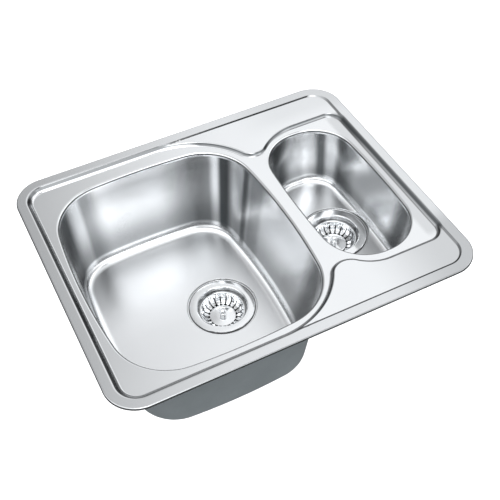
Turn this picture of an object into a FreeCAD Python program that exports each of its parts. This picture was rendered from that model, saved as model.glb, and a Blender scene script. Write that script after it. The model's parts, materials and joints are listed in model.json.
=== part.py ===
import FreeCAD, Part

import math
import os
from types import SimpleNamespace

import Sketcher
from FreeCAD import Placement, Rotation, Vector

# Inset stainless steel sink with a main bowl, a half bowl and two basket strainers.
# Millimetres. The origin is the centre of the rim on the worktop plane, +Z is up,
# +X runs along the rim towards the half bowl and +Y runs away from the user.

# Driving dimensions

SIZES = {
    # sheet and rim
    "sheet_thickness": 0.8,
    "rim_length": 610.0,
    "rim_width": 500.0,
    "rim_height": 3.5,
    "rim_corner_radius": 52.0,
    "rim_edge_radius": 2.6,
    # pressed levels, measured down from the top of the rim
    "flange_width": 17.5,
    "deck_drop": 2.5,
    "deck_edge_inset": 18.3,
    "deck_foot_inset": 21.5,
    "surround_drop": 8.0,
    "surround_foot_inset": 25.5,
    "deck_reach_from_right": 375.15,
    # foot line of the surround: places from the rim's right end, margins from the half bowl
    "surround_corner_radius": 22.5,
    "back_sweep_from_right": 350.5,
    "back_sweep_radius": 143.2,
    "back_valley_radius": 29.7,
    "back_lobe_from_right": 111.0,
    "back_lobe_radius": 98.6,
    "back_lobe_margin": 12.1,
    "front_sweep_from_right": 340.2,
    "front_sweep_radius": 134.3,
    "front_valley_radius": 33.7,
    "front_lobe_from_right": 123.9,
    "front_lobe_radius": 69.4,
    "front_lobe_margin": 16.4,
    # rolled lip and collar that carry each bowl
    "lip_radius": 4.5,
    "collar_height": 7.0,
    # main bowl: its mouth lies in from the rim's edges and from the half bowl
    "main_bowl_left_margin": 36.9,
    "main_bowl_front_margin": 38.3,
    "main_bowl_back_margin": 50.9,
    "divider_width": 27.8,
    "main_bowl_side_radius": 1080.0,
    "main_bowl_corner_radius": 93.0,
    "main_bowl_depth": 174.0,
    "main_bowl_left_draft": 16.1,
    "main_bowl_right_draft": 25.9,
    "main_bowl_end_draft": 15.4,
    "main_bowl_foot_corner_radius": 70.0,
    "main_bowl_floor_radius": 19.0,
    "main_drain_from_divider": 122.9,
    "main_drain_forward": 4.7,
    # half bowl
    "half_bowl_length": 156.8,
    "half_bowl_right_margin": 38.5,
    "half_bowl_front_margin": 96.8,
    "half_bowl_back_margin": 94.0,
    "half_bowl_side_radius": 1560.0,
    "half_bowl_corner_radius": 73.0,
    "half_bowl_depth": 120.0,
    "half_bowl_left_draft": 12.3,
    "half_bowl_right_draft": 10.5,
    "half_bowl_end_draft": 8.9,
    "half_bowl_foot_corner_radius": 54.0,
    "half_bowl_floor_radius": 16.0,
    "half_drain_outward": 2.4,
    "half_drain_backward": 3.6,
    # sound deadening coat on the outside of each bowl
    "coat_thickness": 1.6,
    "coat_top": 20.0,
    "coat_drain_radius": 70.0,
    # recess pressed into each bowl floor for its strainer
    "recess_radius": 60.5,
    "recess_slope": 0.8,
    "recess_depth": 3.0,
    "recess_climb": 8.0,
    "drain_hole_radius": 45.0,
    # foam seal under the rim
    "seal_width": 7.0,
    # clip rails under the rim
    "rail_inset": 12.0,
    "rail_thickness": 1.0,
    "rail_flange_width": 4.6,
    "rail_foot_width": 9.0,
    "rail_height": 14.0,
    "side_rail_length": 300.0,
    "end_rail_length": 380.0,
    "clip_spread_on_side": 200.0,
    "clip_spread_on_end": 290.0,
    # swivel clips
    "clip_screw_radius": 2.4,
    "clip_screw_length": 13.0,
    "clip_screw_head_radius": 4.4,
    "clip_screw_head_height": 2.8,
    "clip_screw_slot_width": 1.2,
    "clip_screw_slot_depth": 1.3,
    "clip_arm_length": 25.0,
    "clip_arm_width": 13.0,
    "clip_arm_thickness": 2.0,
    "clip_arm_joggle": 3.0,
    "clip_tooth_height": 2.4,
    "clip_tooth_length": 2.2,
    # strainer flange and cup
    "flange_seal_thickness": 0.6,
    "strainer_flange_radius": 57.0,
    "strainer_flange_thickness": 1.6,
    "strainer_flange_edge": 0.7,
    "strainer_mouth_radius": 45.0,
    "cup_wall": 1.0,
    "cup_upper_radius": 43.2,
    "cup_rib_step": 0.55,
    "cup_ledge_depth": 10.4,
    "cup_ledge_width": 1.8,
    "cup_hole_clearance": 0.7,
    "cup_thread_depth": 20.0,
    "cup_waist_depth": 32.0,
    "cup_waist_radius": 36.6,
    "cup_floor_depth": 41.0,
    "cup_floor_radius": 30.0,
    "cup_seat_depth": 42.5,
    "outlet_bore_radius": 20.6,
    "outlet_thread_radius": 23.9,
    "outlet_end_depth": 66.0,
    "bridge_depth": 47.0,
    "bridge_width": 9.0,
    "bridge_thickness": 1.6,
    "bridge_hole_radius": 3.9,
    # clamping parts under the bowl
    "rubber_washer_thickness": 3.0,
    "rubber_washer_radius": 57.5,
    "friction_washer_thickness": 0.8,
    "friction_washer_radius": 56.0,
    "lock_nut_height": 11.0,
    "lock_nut_flange_height": 3.0,
    "lock_nut_flange_radius": 56.5,
    "lock_nut_radius": 50.0,
    "lock_nut_lug_reach": 55.0,
    "lock_nut_lug_width": 7.0,
    # basket
    "basket_sheet": 0.7,
    "basket_rim_radius": 40.2,
    "basket_wall_radius": 38.4,
    "basket_bend_radius": 35.0,
    "basket_bend_depth": 18.5,
    "basket_knee_radius": 31.0,
    "basket_knee_depth": 24.6,
    "basket_floor_radius": 24.6,
    "basket_floor_depth": 27.6,
    "basket_disc_radius": 21.8,
    "basket_disc_depth": 26.6,
    "basket_crown_depth": 25.4,
    "basket_slot_width": 2.7,
    "basket_slot_inner": 23.0,
    "basket_slot_outer": 35.4,
    # knob, rod and stopper of the basket
    "rod_radius": 2.6,
    "knob_ball_radius": 6.4,
    "knob_ball_height": 9.6,
    "knob_neck_radius": 3.4,
    "knob_collar_radius": 5.2,
    "knob_collar_height": 1.6,
    "stopper_radius": 26.5,
    "stopper_lip_thickness": 2.4,
    "stopper_hub_radius": 9.0,
    "rod_tip_radius": 3.5,
    "rod_tip_length": 6.0,
    # clearances and overruns
    "running_clearance": 0.05,
    "loose_clearance": 0.3,
    "cut_overrun": 1.0,
}

SLOT_COUNT = 20
LOCK_NUT_LUGS = 6
CUP_RIBS = 4
FLOOR_BANDS = 5
WALL_LEAN = math.radians(7.0)

# A skin laid under a slope keeps its thickness when its corners move out by these shares
# of the thickness: the tangent of half the slope, 45 degrees for the surround and about
# 32 degrees for the deck.
SURROUND_MITRE_SHARE = math.tan(math.radians(22.5))
DECK_MITRE_SHARE = math.tan(math.radians(16.0))
RECESS_MITRE_SHARE = math.tan(math.radians(37.5))
TAIL_ROUND_SHARE = 0.45
ROLL_SHARE = math.sin(math.radians(45.0))
CROWN_SHARE = 0.3
TIP_ABOVE_SHARE = 0.3
HALF = 0.5


class Size:
    """A length that carries its number and the sheet expression that gives it."""

    def __init__(self, number, text):
        self.number = number
        self.text = text

    def _with(self, other, sign, number, swap=False):
        text = other.text if isinstance(other, Size) else repr(float(other))
        left, right = (text, self.text) if swap else (self.text, text)
        return Size(number, f"({left} {sign} {right})")

    def __add__(self, other):
        return self._with(other, "+", self.number + float(other))

    def __radd__(self, other):
        return self._with(other, "+", float(other) + self.number, swap=True)

    def __sub__(self, other):
        return self._with(other, "-", self.number - float(other))

    def __rsub__(self, other):
        return self._with(other, "-", float(other) - self.number, swap=True)

    def __mul__(self, other):
        return self._with(other, "*", self.number * float(other))

    def __rmul__(self, other):
        return self._with(other, "*", float(other) * self.number, swap=True)

    def __truediv__(self, other):
        return self._with(other, "/", self.number / float(other))

    def __neg__(self):
        return Size(-self.number, f"(-1 * {self.text})")

    def __float__(self):
        return float(self.number)


ZERO = Size(0.0, "0")

doc = FreeCAD.newDocument("inset_sink")
sheet = doc.addObject("Spreadsheet::Sheet", "Sizes")
for row, (name, number) in enumerate(SIZES.items(), start=1):
    sheet.set(f"A{row}", name)
    sheet.set(f"B{row}", str(number))
    sheet.setAlias(f"B{row}", name)
doc.recompute()
size = SimpleNamespace(**{name: Size(float(sheet.get(name)), f"Sizes.{name}") for name in SIZES})

# Levels above the worktop plane

rim_top = size.rim_height
surround_level = rim_top - size.surround_drop
deck_level = rim_top - size.deck_drop
collar_end = surround_level - size.collar_height
half_length = size.rim_length * HALF
half_width = size.rim_width * HALF

# Edges of the bowls' mouths, in from the rim

half_right = half_length - size.half_bowl_right_margin
half_left = half_right - size.half_bowl_length
half_front = size.half_bowl_front_margin - half_width
half_back = half_width - size.half_bowl_back_margin
main_right = half_left - size.divider_width
main_left = size.main_bowl_left_margin - half_length
main_front = size.main_bowl_front_margin - half_width
main_back = half_width - size.main_bowl_back_margin


# Document helpers

def new_body(name):
    """A body with its label set, ready for sketches and features."""
    body = doc.addObject("PartDesign::Body", name)
    body.Label = name
    return body


def place(item, x=ZERO, y=ZERO, z=ZERO, turn=0.0):
    """Put an item at a point given by sheet expressions, turned about Z by whole degrees."""
    item.Placement = Placement(Vector(x.number, y.number, z.number), Rotation(turn, 0, 0))
    item.setExpression(".Placement.Base.x", x.text)
    item.setExpression(".Placement.Base.y", y.text)
    item.setExpression(".Placement.Base.z", z.text)
    return item


def new_sketch(body, name, role="XY_Plane", lift=ZERO):
    """A sketch on one of the body's own origin planes, lifted along that plane's normal."""
    sketch = body.newObject("Sketcher::SketchObject", name)
    plane = [item for item in body.Origin.OriginFeatures if item.Role == role][0]
    sketch.AttachmentSupport = [(plane, "")]
    sketch.MapMode = "FlatFace"
    sketch.AttachmentOffset = Placement(Vector(0, 0, lift.number), Rotation())
    sketch.setExpression(".AttachmentOffset.Base.z", lift.text)
    return sketch


def bind(sketch, kind, value, *places):
    """Add a constraint whose value follows the sheet."""
    index = sketch.addConstraint(Sketcher.Constraint(kind, *places, value.number))
    sketch.setExpression(f"Constraints[{index}]", value.text)


def polygon(sketch, corners):
    """A closed polygon whose corners are pairs of sizes."""
    first = sketch.GeometryCount
    count = len(corners)
    for index, (x, y) in enumerate(corners):
        after = corners[(index + 1) % count]
        start = Vector(x.number, y.number, 0)
        end = Vector(after[0].number, after[1].number, 0)
        sketch.addGeometry(Part.LineSegment(start, end), False)
    for index, (x, y) in enumerate(corners):
        line = first + index
        sketch.addConstraint(Sketcher.Constraint("Coincident", line, 2, first + (index + 1) % count, 1))
        bind(sketch, "DistanceX", x, -1, 1, line, 1)
        bind(sketch, "DistanceY", y, -1, 1, line, 1)


def circle(sketch, radius, x=ZERO, y=ZERO):
    """A circle with its centre and radius bound to the sheet."""
    shape = Part.Circle(Vector(x.number, y.number, 0), Vector(0, 0, 1), radius.number)
    index = sketch.addGeometry(shape, False)
    bind(sketch, "Radius", radius, index)
    bind(sketch, "DistanceX", x, -1, 1, index, 3)
    bind(sketch, "DistanceY", y, -1, 1, index, 3)


def arc_shape(centre, radius, start, end):
    """A counter-clockwise arc between two directions given as vectors from its centre."""
    first = math.atan2(start.y, start.x)
    last = math.atan2(end.y, end.x)
    if last < first:
        last += 2 * math.pi
    return Part.ArcOfCircle(Part.Circle(centre, Vector(0, 0, 1), radius), first, last)


def smooth_chain(sketch, pieces):
    """Draw a closed chain of tangent pieces, counter-clockwise.

    A piece is a dictionary. A line has along ("x" or "y"), at (its offset from the other
    axis), start and end. An arc has centre, radius, start and end, and hollow where it
    bends the other way. Sizes named x or y in an arc hold its centre.
    """
    ends = []
    for piece in pieces:
        if "along" in piece:
            index = sketch.addGeometry(Part.LineSegment(piece["start"], piece["end"]), False)
            flat = piece["along"] == "x"
            sketch.addConstraint(Sketcher.Constraint("Horizontal" if flat else "Vertical", index))
            bind(sketch, "DistanceY" if flat else "DistanceX", piece["at"], -1, 1, index, 1)
            ends.append((index, 1, 2))
            continue
        centre = piece["centre"]
        start = piece["start"] - centre
        end = piece["end"] - centre
        hollow = piece.get("hollow", False)
        shape = arc_shape(centre, piece["radius"].number, end if hollow else start, start if hollow else end)
        index = sketch.addGeometry(shape, False)
        bind(sketch, "Radius", piece["radius"], index)
        if "x" in piece:
            bind(sketch, "DistanceX", piece["x"], -1, 1, index, 3)
        if "y" in piece:
            bind(sketch, "DistanceY", piece["y"], -1, 1, index, 3)
        ends.append((index, 2, 1) if hollow else (index, 1, 2))
    for here, there in zip(ends, ends[1:] + ends[:1]):
        sketch.addConstraint(Sketcher.Constraint("Tangent", here[0], here[2], there[0], there[1]))


def box_chain(sketch, left, right, front, back, radii):
    """A rectangle with rounded corners: radii run front right, back right, back left, front left."""
    low_right, high_right, high_left, low_left = radii
    corners = (
        (right, front, -1, 1, low_right),
        (right, back, -1, -1, high_right),
        (left, back, 1, -1, high_left),
        (left, front, 1, 1, low_left),
    )
    centres = [Vector(x.number + sx * r.number, y.number + sy * r.number, 0) for x, y, sx, sy, r in corners]
    low_right_centre, high_right_centre, high_left_centre, low_left_centre = centres

    def on_line(centre, x=None, y=None):
        return Vector(centre.x if x is None else x.number, centre.y if y is None else y.number, 0)

    pieces = [
        {"along": "x", "at": front, "start": on_line(low_left_centre, y=front),
         "end": on_line(low_right_centre, y=front)},
        {"centre": low_right_centre, "radius": low_right, "start": on_line(low_right_centre, y=front),
         "end": on_line(low_right_centre, x=right)},
        {"along": "y", "at": right, "start": on_line(low_right_centre, x=right),
         "end": on_line(high_right_centre, x=right)},
        {"centre": high_right_centre, "radius": high_right, "start": on_line(high_right_centre, x=right),
         "end": on_line(high_right_centre, y=back)},
        {"along": "x", "at": back, "start": on_line(high_right_centre, y=back),
         "end": on_line(high_left_centre, y=back)},
        {"centre": high_left_centre, "radius": high_left, "start": on_line(high_left_centre, y=back),
         "end": on_line(high_left_centre, x=left)},
        {"along": "y", "at": left, "start": on_line(high_left_centre, x=left),
         "end": on_line(low_left_centre, x=left)},
        {"centre": low_left_centre, "radius": low_left, "start": on_line(low_left_centre, x=left),
         "end": on_line(low_left_centre, y=front)},
    ]
    smooth_chain(sketch, pieces)


def frame_outline(sketch, inset):
    """The rim's outline moved in by an inset, with its corners kept concentric."""
    radius = size.rim_corner_radius - inset
    box_chain(
        sketch,
        inset - half_length,
        half_length - inset,
        inset - half_width,
        half_width - inset,
        (radius,) * 4,
    )


def barrel_outline(sketch, x, y, length, width, side_radius, corner_radius):
    """A bowl's outline: four gently bowed sides joined by tangent corner arcs."""
    centre = Vector(x.number, y.number, 0)
    side = Vector((length * HALF - side_radius).number, 0, 0)
    end = Vector(0, (width * HALF - side_radius).number, 0)
    reach = (side_radius - corner_radius).number
    middle = (side + end) * HALF
    apart = side - end
    climb = math.sqrt(reach**2 - (apart.Length * HALF) ** 2)
    across = Vector(-apart.y, apart.x, 0).normalize() * climb
    corner = middle + across if (middle + across).x > 0 else middle - across
    on_side = side + (corner - side).normalize() * side_radius.number
    on_end = end + (corner - end).normalize() * side_radius.number

    def at(vector, sx, sy):
        return centre + Vector(vector.x * sx, vector.y * sy, 0)

    def bowed(place_of_arc, first, last, **held):
        return {"centre": place_of_arc, "radius": side_radius, "start": first, "end": last, **held}

    def corner_arc(sx, sy, first, last):
        return {"centre": at(corner, sx, sy), "radius": corner_radius, "start": first, "end": last}

    half_span = length * HALF - side_radius
    half_rise = width * HALF - side_radius
    pieces = [
        bowed(at(side, 1, 1), at(on_side, 1, -1), at(on_side, 1, 1), x=x + half_span, y=y),
        corner_arc(1, 1, at(on_side, 1, 1), at(on_end, 1, 1)),
        bowed(at(end, 1, 1), at(on_end, 1, 1), at(on_end, -1, 1), x=x, y=y + half_rise),
        corner_arc(-1, 1, at(on_end, -1, 1), at(on_side, -1, 1)),
        bowed(at(side, -1, 1), at(on_side, -1, 1), at(on_side, -1, -1), x=x - half_span, y=y),
        corner_arc(-1, -1, at(on_side, -1, -1), at(on_end, -1, -1)),
        bowed(at(end, 1, -1), at(on_end, -1, -1), at(on_end, 1, -1), x=x, y=y - half_rise),
        corner_arc(1, -1, at(on_end, 1, -1), at(on_side, 1, -1)),
    ]
    smooth_chain(sketch, pieces)


def surround_outline(sketch, spread):
    """The sunk surround of the bowls: it follows the rim at the left and right and sweeps
    in between the two bowls. The sizes are its foot line's, and spread moves it outward."""
    left = size.surround_foot_inset - spread - half_length
    right = half_length - size.surround_foot_inset + spread
    rim_radius = size.rim_corner_radius - size.surround_foot_inset + spread
    corner_radius = size.surround_corner_radius + spread

    def flow(side, sweep_start, sweep_radius, valley_radius, lobe_start, lobe_radius, lobe_reach):
        """Centres and meeting points of one long edge, back (side 1) or front (side -1)."""
        reach = half_width - size.surround_foot_inset + spread
        lobe_line = lobe_reach + spread
        sweep = sweep_radius + spread
        lobe = lobe_radius + spread
        valley = valley_radius - spread
        sweep_centre = Vector(sweep_start.number, (reach - sweep).number, 0)
        lobe_centre = Vector(lobe_start.number, (lobe_line - lobe).number, 0)
        to_sweep = (sweep + valley).number
        to_lobe = (lobe + valley).number
        line = lobe_centre - sweep_centre
        along = (to_sweep**2 - to_lobe**2 + line.Length**2) / (2 * line.Length)
        ahead = Vector(line).normalize()
        up = Vector(-ahead.y, ahead.x, 0)
        valley_centre = sweep_centre + ahead * along + up * math.sqrt(to_sweep**2 - along**2)
        leave = sweep_centre + (valley_centre - sweep_centre) * (sweep.number / to_sweep)
        enter = lobe_centre + (valley_centre - lobe_centre) * (lobe.number / to_lobe)
        found = (sweep_centre, lobe_centre, valley_centre, leave, enter)
        points = [Vector(p.x, side * p.y, 0) for p in found]
        return points + [side * reach, side * lobe_line, sweep, lobe, valley]

    back_sweep_start = half_length - size.back_sweep_from_right
    back_lobe_start = half_length - size.back_lobe_from_right
    front_sweep_start = half_length - size.front_sweep_from_right
    front_lobe_start = half_length - size.front_lobe_from_right
    back = flow(1, back_sweep_start, size.back_sweep_radius, size.back_valley_radius,
                back_lobe_start, size.back_lobe_radius, half_back + size.back_lobe_margin)
    front = flow(-1, front_sweep_start, size.front_sweep_radius, size.front_valley_radius,
                 front_lobe_start, size.front_lobe_radius, size.front_lobe_margin - half_front)
    b_sweep, b_lobe, b_valley, b_leave, b_enter, b_reach, b_line, b_sweep_r, b_lobe_r, b_valley_r = back
    f_sweep, f_lobe, f_valley, f_leave, f_enter, f_reach, f_line, f_sweep_r, f_lobe_r, f_valley_r = front
    fr = Vector(right.number - corner_radius.number, f_line.number + corner_radius.number, 0)
    br = Vector(right.number - corner_radius.number, b_line.number - corner_radius.number, 0)
    bl = Vector(left.number + rim_radius.number, b_reach.number - rim_radius.number, 0)
    fl = Vector(left.number + rim_radius.number, f_reach.number + rim_radius.number, 0)

    def point(x, y):
        return Vector(x, y, 0)

    def line(along, at, first, last):
        return {"along": along, "at": at, "start": first, "end": last}

    def arc(centre, radius, first, last, **held):
        return {"centre": centre, "radius": radius, "start": first, "end": last, **held}

    front_start, front_end = point(fl.x, f_reach.number), point(f_sweep.x, f_reach.number)
    dip_start, dip_end = point(f_lobe.x, f_line.number), point(fr.x, f_line.number)
    right_start, right_end = point(right.number, fr.y), point(right.number, br.y)
    rise_start, rise_end = point(br.x, b_line.number), point(b_lobe.x, b_line.number)
    back_start, back_end = point(b_sweep.x, b_reach.number), point(bl.x, b_reach.number)
    left_start, left_end = point(left.number, bl.y), point(left.number, fl.y)
    pieces = [
        line("x", f_reach, front_start, front_end),
        arc(f_sweep, f_sweep_r, front_end, f_leave, x=front_sweep_start),
        arc(f_valley, f_valley_r, f_leave, f_enter, hollow=True),
        arc(f_lobe, f_lobe_r, f_enter, dip_start, x=front_lobe_start),
        line("x", f_line, dip_start, dip_end),
        arc(fr, corner_radius, dip_end, right_start),
        line("y", right, right_start, right_end),
        arc(br, corner_radius, right_end, rise_start),
        line("x", b_line, rise_start, rise_end),
        arc(b_lobe, b_lobe_r, rise_end, b_enter, x=back_lobe_start),
        arc(b_valley, b_valley_r, b_enter, b_leave, hollow=True),
        arc(b_sweep, b_sweep_r, b_leave, back_start, x=back_sweep_start),
        line("x", b_reach, back_start, back_end),
        arc(bl, rim_radius, back_end, left_start),
        line("y", left, left_start, left_end),
        arc(fl, rim_radius, left_end, front_start),
    ]
    smooth_chain(sketch, pieces)


# Feature helpers

def pad(body, name, sketch, length):
    """Pad a sketch along its normal."""
    feature = body.newObject("PartDesign::Pad", name)
    feature.Profile = sketch
    feature.Length = length.number
    feature.setExpression("Length", length.text)
    doc.recompute()
    return feature


def cut_down(body, name, sketch):
    """Pocket a sketch through everything below it."""
    feature = body.newObject("PartDesign::Pocket", name)
    feature.Profile = sketch
    feature.Type = "ThroughAll"
    doc.recompute()
    return feature


def loft(body, name, first, *others, subtract=False):
    """A ruled loft through sketches with matching chains."""
    kind = "PartDesign::SubtractiveLoft" if subtract else "PartDesign::AdditiveLoft"
    feature = body.newObject(kind, name)
    feature.Profile = first
    feature.Sections = list(others)
    feature.Ruled = True
    doc.recompute()
    return feature


def round_edges(body, name, radius, chosen):
    """Fillet the edges of the body's tip that the test function chooses."""
    base = body.Tip
    names = [f"Edge{index}" for index, edge in enumerate(base.Shape.Edges, start=1) if chosen(edge)]
    feature = body.newObject("PartDesign::Fillet", name)
    feature.Base = (base, names)
    feature.Radius = radius.number
    feature.setExpression("Radius", radius.text)
    doc.recompute()
    return feature


def repeat_round(body, name, feature, sketch, count):
    """Repeat a feature evenly about the axis that stands on its sketch's origin."""
    pattern = body.newObject("PartDesign::PolarPattern", name)
    pattern.Originals = [feature]
    pattern.Axis = (sketch, ["N_Axis"])
    pattern.Angle = 360
    pattern.Occurrences = count
    body.Tip = pattern
    doc.recompute()
    return pattern


def turned(name, corners):
    """A body of revolution about Z from a polygon of radius and height pairs."""
    body = new_body(name)
    sketch = new_sketch(body, name + "_profile", "XZ_Plane")
    polygon(sketch, corners)
    feature = body.newObject("PartDesign::Revolution", name + "_turning")
    feature.Profile = sketch
    feature.ReferenceAxis = (sketch, ["V_Axis"])
    feature.Angle = 360
    doc.recompute()
    return body


def plug(name, radius, bottom, height, x=ZERO, y=ZERO):
    """A plain cylinder used as a cutter."""
    cylinder = doc.addObject("Part::Cylinder", name)
    cylinder.setExpression("Radius", radius.text)
    cylinder.setExpression("Height", height.text)
    place(cylinder, x, y, bottom)
    doc.recompute()
    return cylinder


def combine(kind, name, base, *tools):
    """A boolean of finished items, one tool after another."""
    result = base
    for index, tool in enumerate(tools, start=1):
        last = index == len(tools)
        step = doc.addObject("Part::" + kind, name if last else f"{name}_step_{index}")
        step.Base = result
        step.Tool = tool
        result = step
        doc.recompute()
    result.Label = name
    return result


def near(a, b):
    """Are two lengths the same to within a thousandth of the sheet's thickness?"""
    return abs(float(a) - float(b)) < float(size.sheet_thickness) / 1000


def lies_at(edge, level):
    """Does the whole edge lie at one level?"""
    return near(edge.BoundBox.ZMin, level) and near(edge.BoundBox.ZMax, level)


# Pressed top

BOWLS = {
    "main": ((main_left + main_right) * HALF, (main_front + main_back) * HALF, main_right - main_left,
             main_back - main_front, size.main_bowl_side_radius, size.main_bowl_corner_radius),
    "half": ((half_left + half_right) * HALF, (half_front + half_back) * HALF, size.half_bowl_length,
             half_back - half_front, size.half_bowl_side_radius, size.half_bowl_corner_radius),
}


def bowl_mouth(sketch, bowl, grow):
    """The outline of a bowl's mouth, grown outward by a thickness."""
    x, y, length, width, side_radius, corner_radius = BOWLS[bowl]
    barrel_outline(sketch, x, y, length + grow * 2, width + grow * 2,
                   side_radius + grow, corner_radius + grow)


def press_form(name, skin):
    """The solid under the pressed top's upper face, or under its lower face where skin is
    the sheet's thickness."""
    over = size.cut_overrun
    under = skin.number > 0
    drop = skin
    body = new_body(name)

    sketch = new_sketch(body, name + "_rim", lift=-over if under else ZERO)
    frame_outline(sketch, skin)
    pad(body, name + "_rim_pad", sketch, rim_top - drop + (over if under else ZERO))

    low = collar_end - over if under else collar_end
    sketch = new_sketch(body, name + "_core", lift=low)
    frame_outline(sketch, size.rail_inset - over * (1 if under else 0))
    pad(body, name + "_core_pad", sketch, rim_top - drop - low)

    foot = surround_level - drop
    top = rim_top - drop + over
    run = (size.surround_foot_inset - size.flange_width) / size.surround_drop
    mitre = skin * SURROUND_MITRE_SHARE
    lower = new_sketch(body, name + "_surround_foot", lift=foot)
    surround_outline(lower, mitre)
    upper = new_sketch(body, name + "_surround_edge", lift=top)
    surround_outline(upper, mitre + (top - foot) * run)
    loft(body, name + "_surround", lower, upper, subtract=True)

    foot = deck_level - drop
    run = (size.deck_foot_inset - size.deck_edge_inset) / size.deck_drop
    mitre = skin * DECK_MITRE_SHARE
    deck_left = half_length - size.deck_reach_from_right
    lower = new_sketch(body, name + "_deck_foot", lift=foot)
    inset = size.deck_foot_inset - mitre
    radius = size.rim_corner_radius - inset
    box_chain(lower, deck_left, half_length - inset, inset - half_width, half_width - inset, (radius,) * 4)
    upper = new_sketch(body, name + "_deck_edge", lift=top)
    inset = size.deck_foot_inset - mitre - (top - foot) * run
    radius = size.rim_corner_radius - inset
    box_chain(upper, deck_left, half_length - inset, inset - half_width, half_width - inset, (radius,) * 4)
    loft(body, name + "_deck", lower, upper, subtract=True)

    for bowl in BOWLS:
        sketch = new_sketch(body, f"{name}_{bowl}_mouth", lift=top)
        bowl_mouth(sketch, bowl, skin)
        cut_down(body, f"{name}_{bowl}_opening", sketch)

    def on_mouth(edge):
        if not lies_at(edge, surround_level - drop):
            return False
        box = edge.BoundBox
        for x, y, length, width, _, _ in BOWLS.values():
            reach_x = (length * HALF + skin + size.cut_overrun).number
            reach_y = (width * HALF + skin + size.cut_overrun).number
            inside_x = box.XMin > x.number - reach_x and box.XMax < x.number + reach_x
            inside_y = box.YMin > y.number - reach_y and box.YMax < y.number + reach_y
            if inside_x and inside_y:
                return True
        return False

    def on_rim(edge):
        if not lies_at(edge, rim_top - drop):
            return False
        box = edge.BoundBox
        at_end = near(max(abs(box.XMin), abs(box.XMax)), half_length - skin)
        at_side = near(max(abs(box.YMin), abs(box.YMax)), half_width - skin)
        return at_end or at_side

    round_edges(body, name + "_lips", size.lip_radius - skin, on_mouth)
    round_edges(body, name + "_rim_edge", size.rim_edge_radius - skin, on_rim)
    return body


def pressed_top():
    """The rim, the decks and the bowl surround, pressed from one sheet."""
    upper = press_form("press_upper_form", ZERO)
    lower = press_form("press_lower_form", size.sheet_thickness)
    return combine("Cut", "pressed_top", upper, lower)


# Bowls and their sound deadening coats

FEET = {
    "main": (size.main_bowl_depth, size.main_bowl_left_draft, size.main_bowl_right_draft,
             size.main_bowl_end_draft, size.main_bowl_foot_corner_radius, size.main_bowl_floor_radius),
    "half": (size.half_bowl_depth, size.half_bowl_left_draft, size.half_bowl_right_draft,
             size.half_bowl_end_draft, size.half_bowl_foot_corner_radius, size.half_bowl_floor_radius),
}
DRAINS = {
    "main": (main_right - size.main_drain_from_divider, BOWLS["main"][1] - size.main_drain_forward,
             -size.main_bowl_depth),
    "half": (BOWLS["half"][0] + size.half_drain_outward, BOWLS["half"][1] + size.half_drain_backward,
             -size.half_bowl_depth),
}


def bowl_form(bowl, name, grow):
    """The solid inside a bowl, grown outward by a thickness. Bands of a loft round its
    floor's edge about one centre line, so that the sheet keeps its thickness there."""
    x, y, length, width, side_radius, _ = BOWLS[bowl]
    depth, left, right, end, corner_radius, floor_radius = FEET[bowl]
    body = new_body(name)
    mouth = new_sketch(body, name + "_mouth", lift=collar_end)
    bowl_mouth(mouth, bowl, grow)
    rounding = floor_radius + grow
    steps = []
    for band in range(FLOOR_BANDS + 1):
        lean = WALL_LEAN + (math.pi * HALF - WALL_LEAN) * band / FLOOR_BANDS
        spread = grow - rounding * (math.cos(WALL_LEAN) - math.cos(lean))
        lift = rounding * (1 - math.sin(lean)) - depth - grow
        step = new_sketch(body, f"{name}_foot_{band}", lift=lift)
        barrel_outline(step, x + (left - right) * HALF, y, length - left - right + spread * 2,
                       width - end * 2 + spread * 2, side_radius + spread, corner_radius + spread)
        steps.append(step)
    loft(body, name + "_walls", mouth, *steps)
    return body


def recess_form(bowl, name, grow):
    """The solid inside the strainer's recess, grown outward by a thickness."""
    bottom = -size.recess_depth - grow
    radius = size.recess_radius + grow * RECESS_MITRE_SHARE
    lean = size.recess_slope / size.recess_depth
    top_radius = radius + (size.recess_climb - bottom) * lean
    body = turned(name, [
        (ZERO, bottom),
        (radius, bottom),
        (top_radius, size.recess_climb),
        (ZERO, size.recess_climb),
    ])
    return place(body, *DRAINS[bowl])


def bowl_and_coat(bowl):
    """A drawn bowl with the recess for its strainer, and the coat sprayed on its outside."""
    drain_x, drain_y, floor = DRAINS[bowl]
    skin = size.sheet_thickness
    inside = bowl_form(bowl, bowl + "_bowl_inside", ZERO)
    outside = bowl_form(bowl, bowl + "_bowl_outside", skin)
    pocket = recess_form(bowl, bowl + "_recess_inside", ZERO)
    boss = recess_form(bowl, bowl + "_recess_outside", skin)
    over = size.cut_overrun
    bottom = floor - size.recess_depth - skin - over
    hole = plug(bowl + "_drain_hole", size.drain_hole_radius, bottom, skin + over * 2, drain_x, drain_y)
    blank = combine("Fuse", bowl + "_bowl_blank", outside, boss)
    combine("Cut", bowl + "_bowl", blank, inside, pocket, hole)

    coated = bowl_form(bowl, bowl + "_bowl_coated", skin + size.coat_thickness)
    shadow = bowl_form(bowl, bowl + "_bowl_shadow", skin)
    lid = doc.addObject("Part::Box", bowl + "_coat_lid")
    lid.setExpression("Length", size.rim_length.text)
    lid.setExpression("Width", size.rim_width.text)
    lid.setExpression("Height", size.coat_top.text)
    place(lid, -half_length, -half_width, -size.coat_top)
    window = plug(bowl + "_coat_window", size.coat_drain_radius, bottom,
                  size.recess_climb * 2, drain_x, drain_y)
    combine("Cut", bowl + "_bowl_coat", coated, shadow, lid, window)


# Foam seal and clip rails

def rim_seal():
    """The foam strip that lies on the worktop under the rim."""
    body = new_body("rim_seal")
    sketch = new_sketch(body, "rim_seal_outline")
    start = size.rim_edge_radius + size.loose_clearance
    frame_outline(sketch, start)
    frame_outline(sketch, start + size.seal_width)
    pad(body, "rim_seal_pad", sketch, rim_top - size.sheet_thickness)


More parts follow.
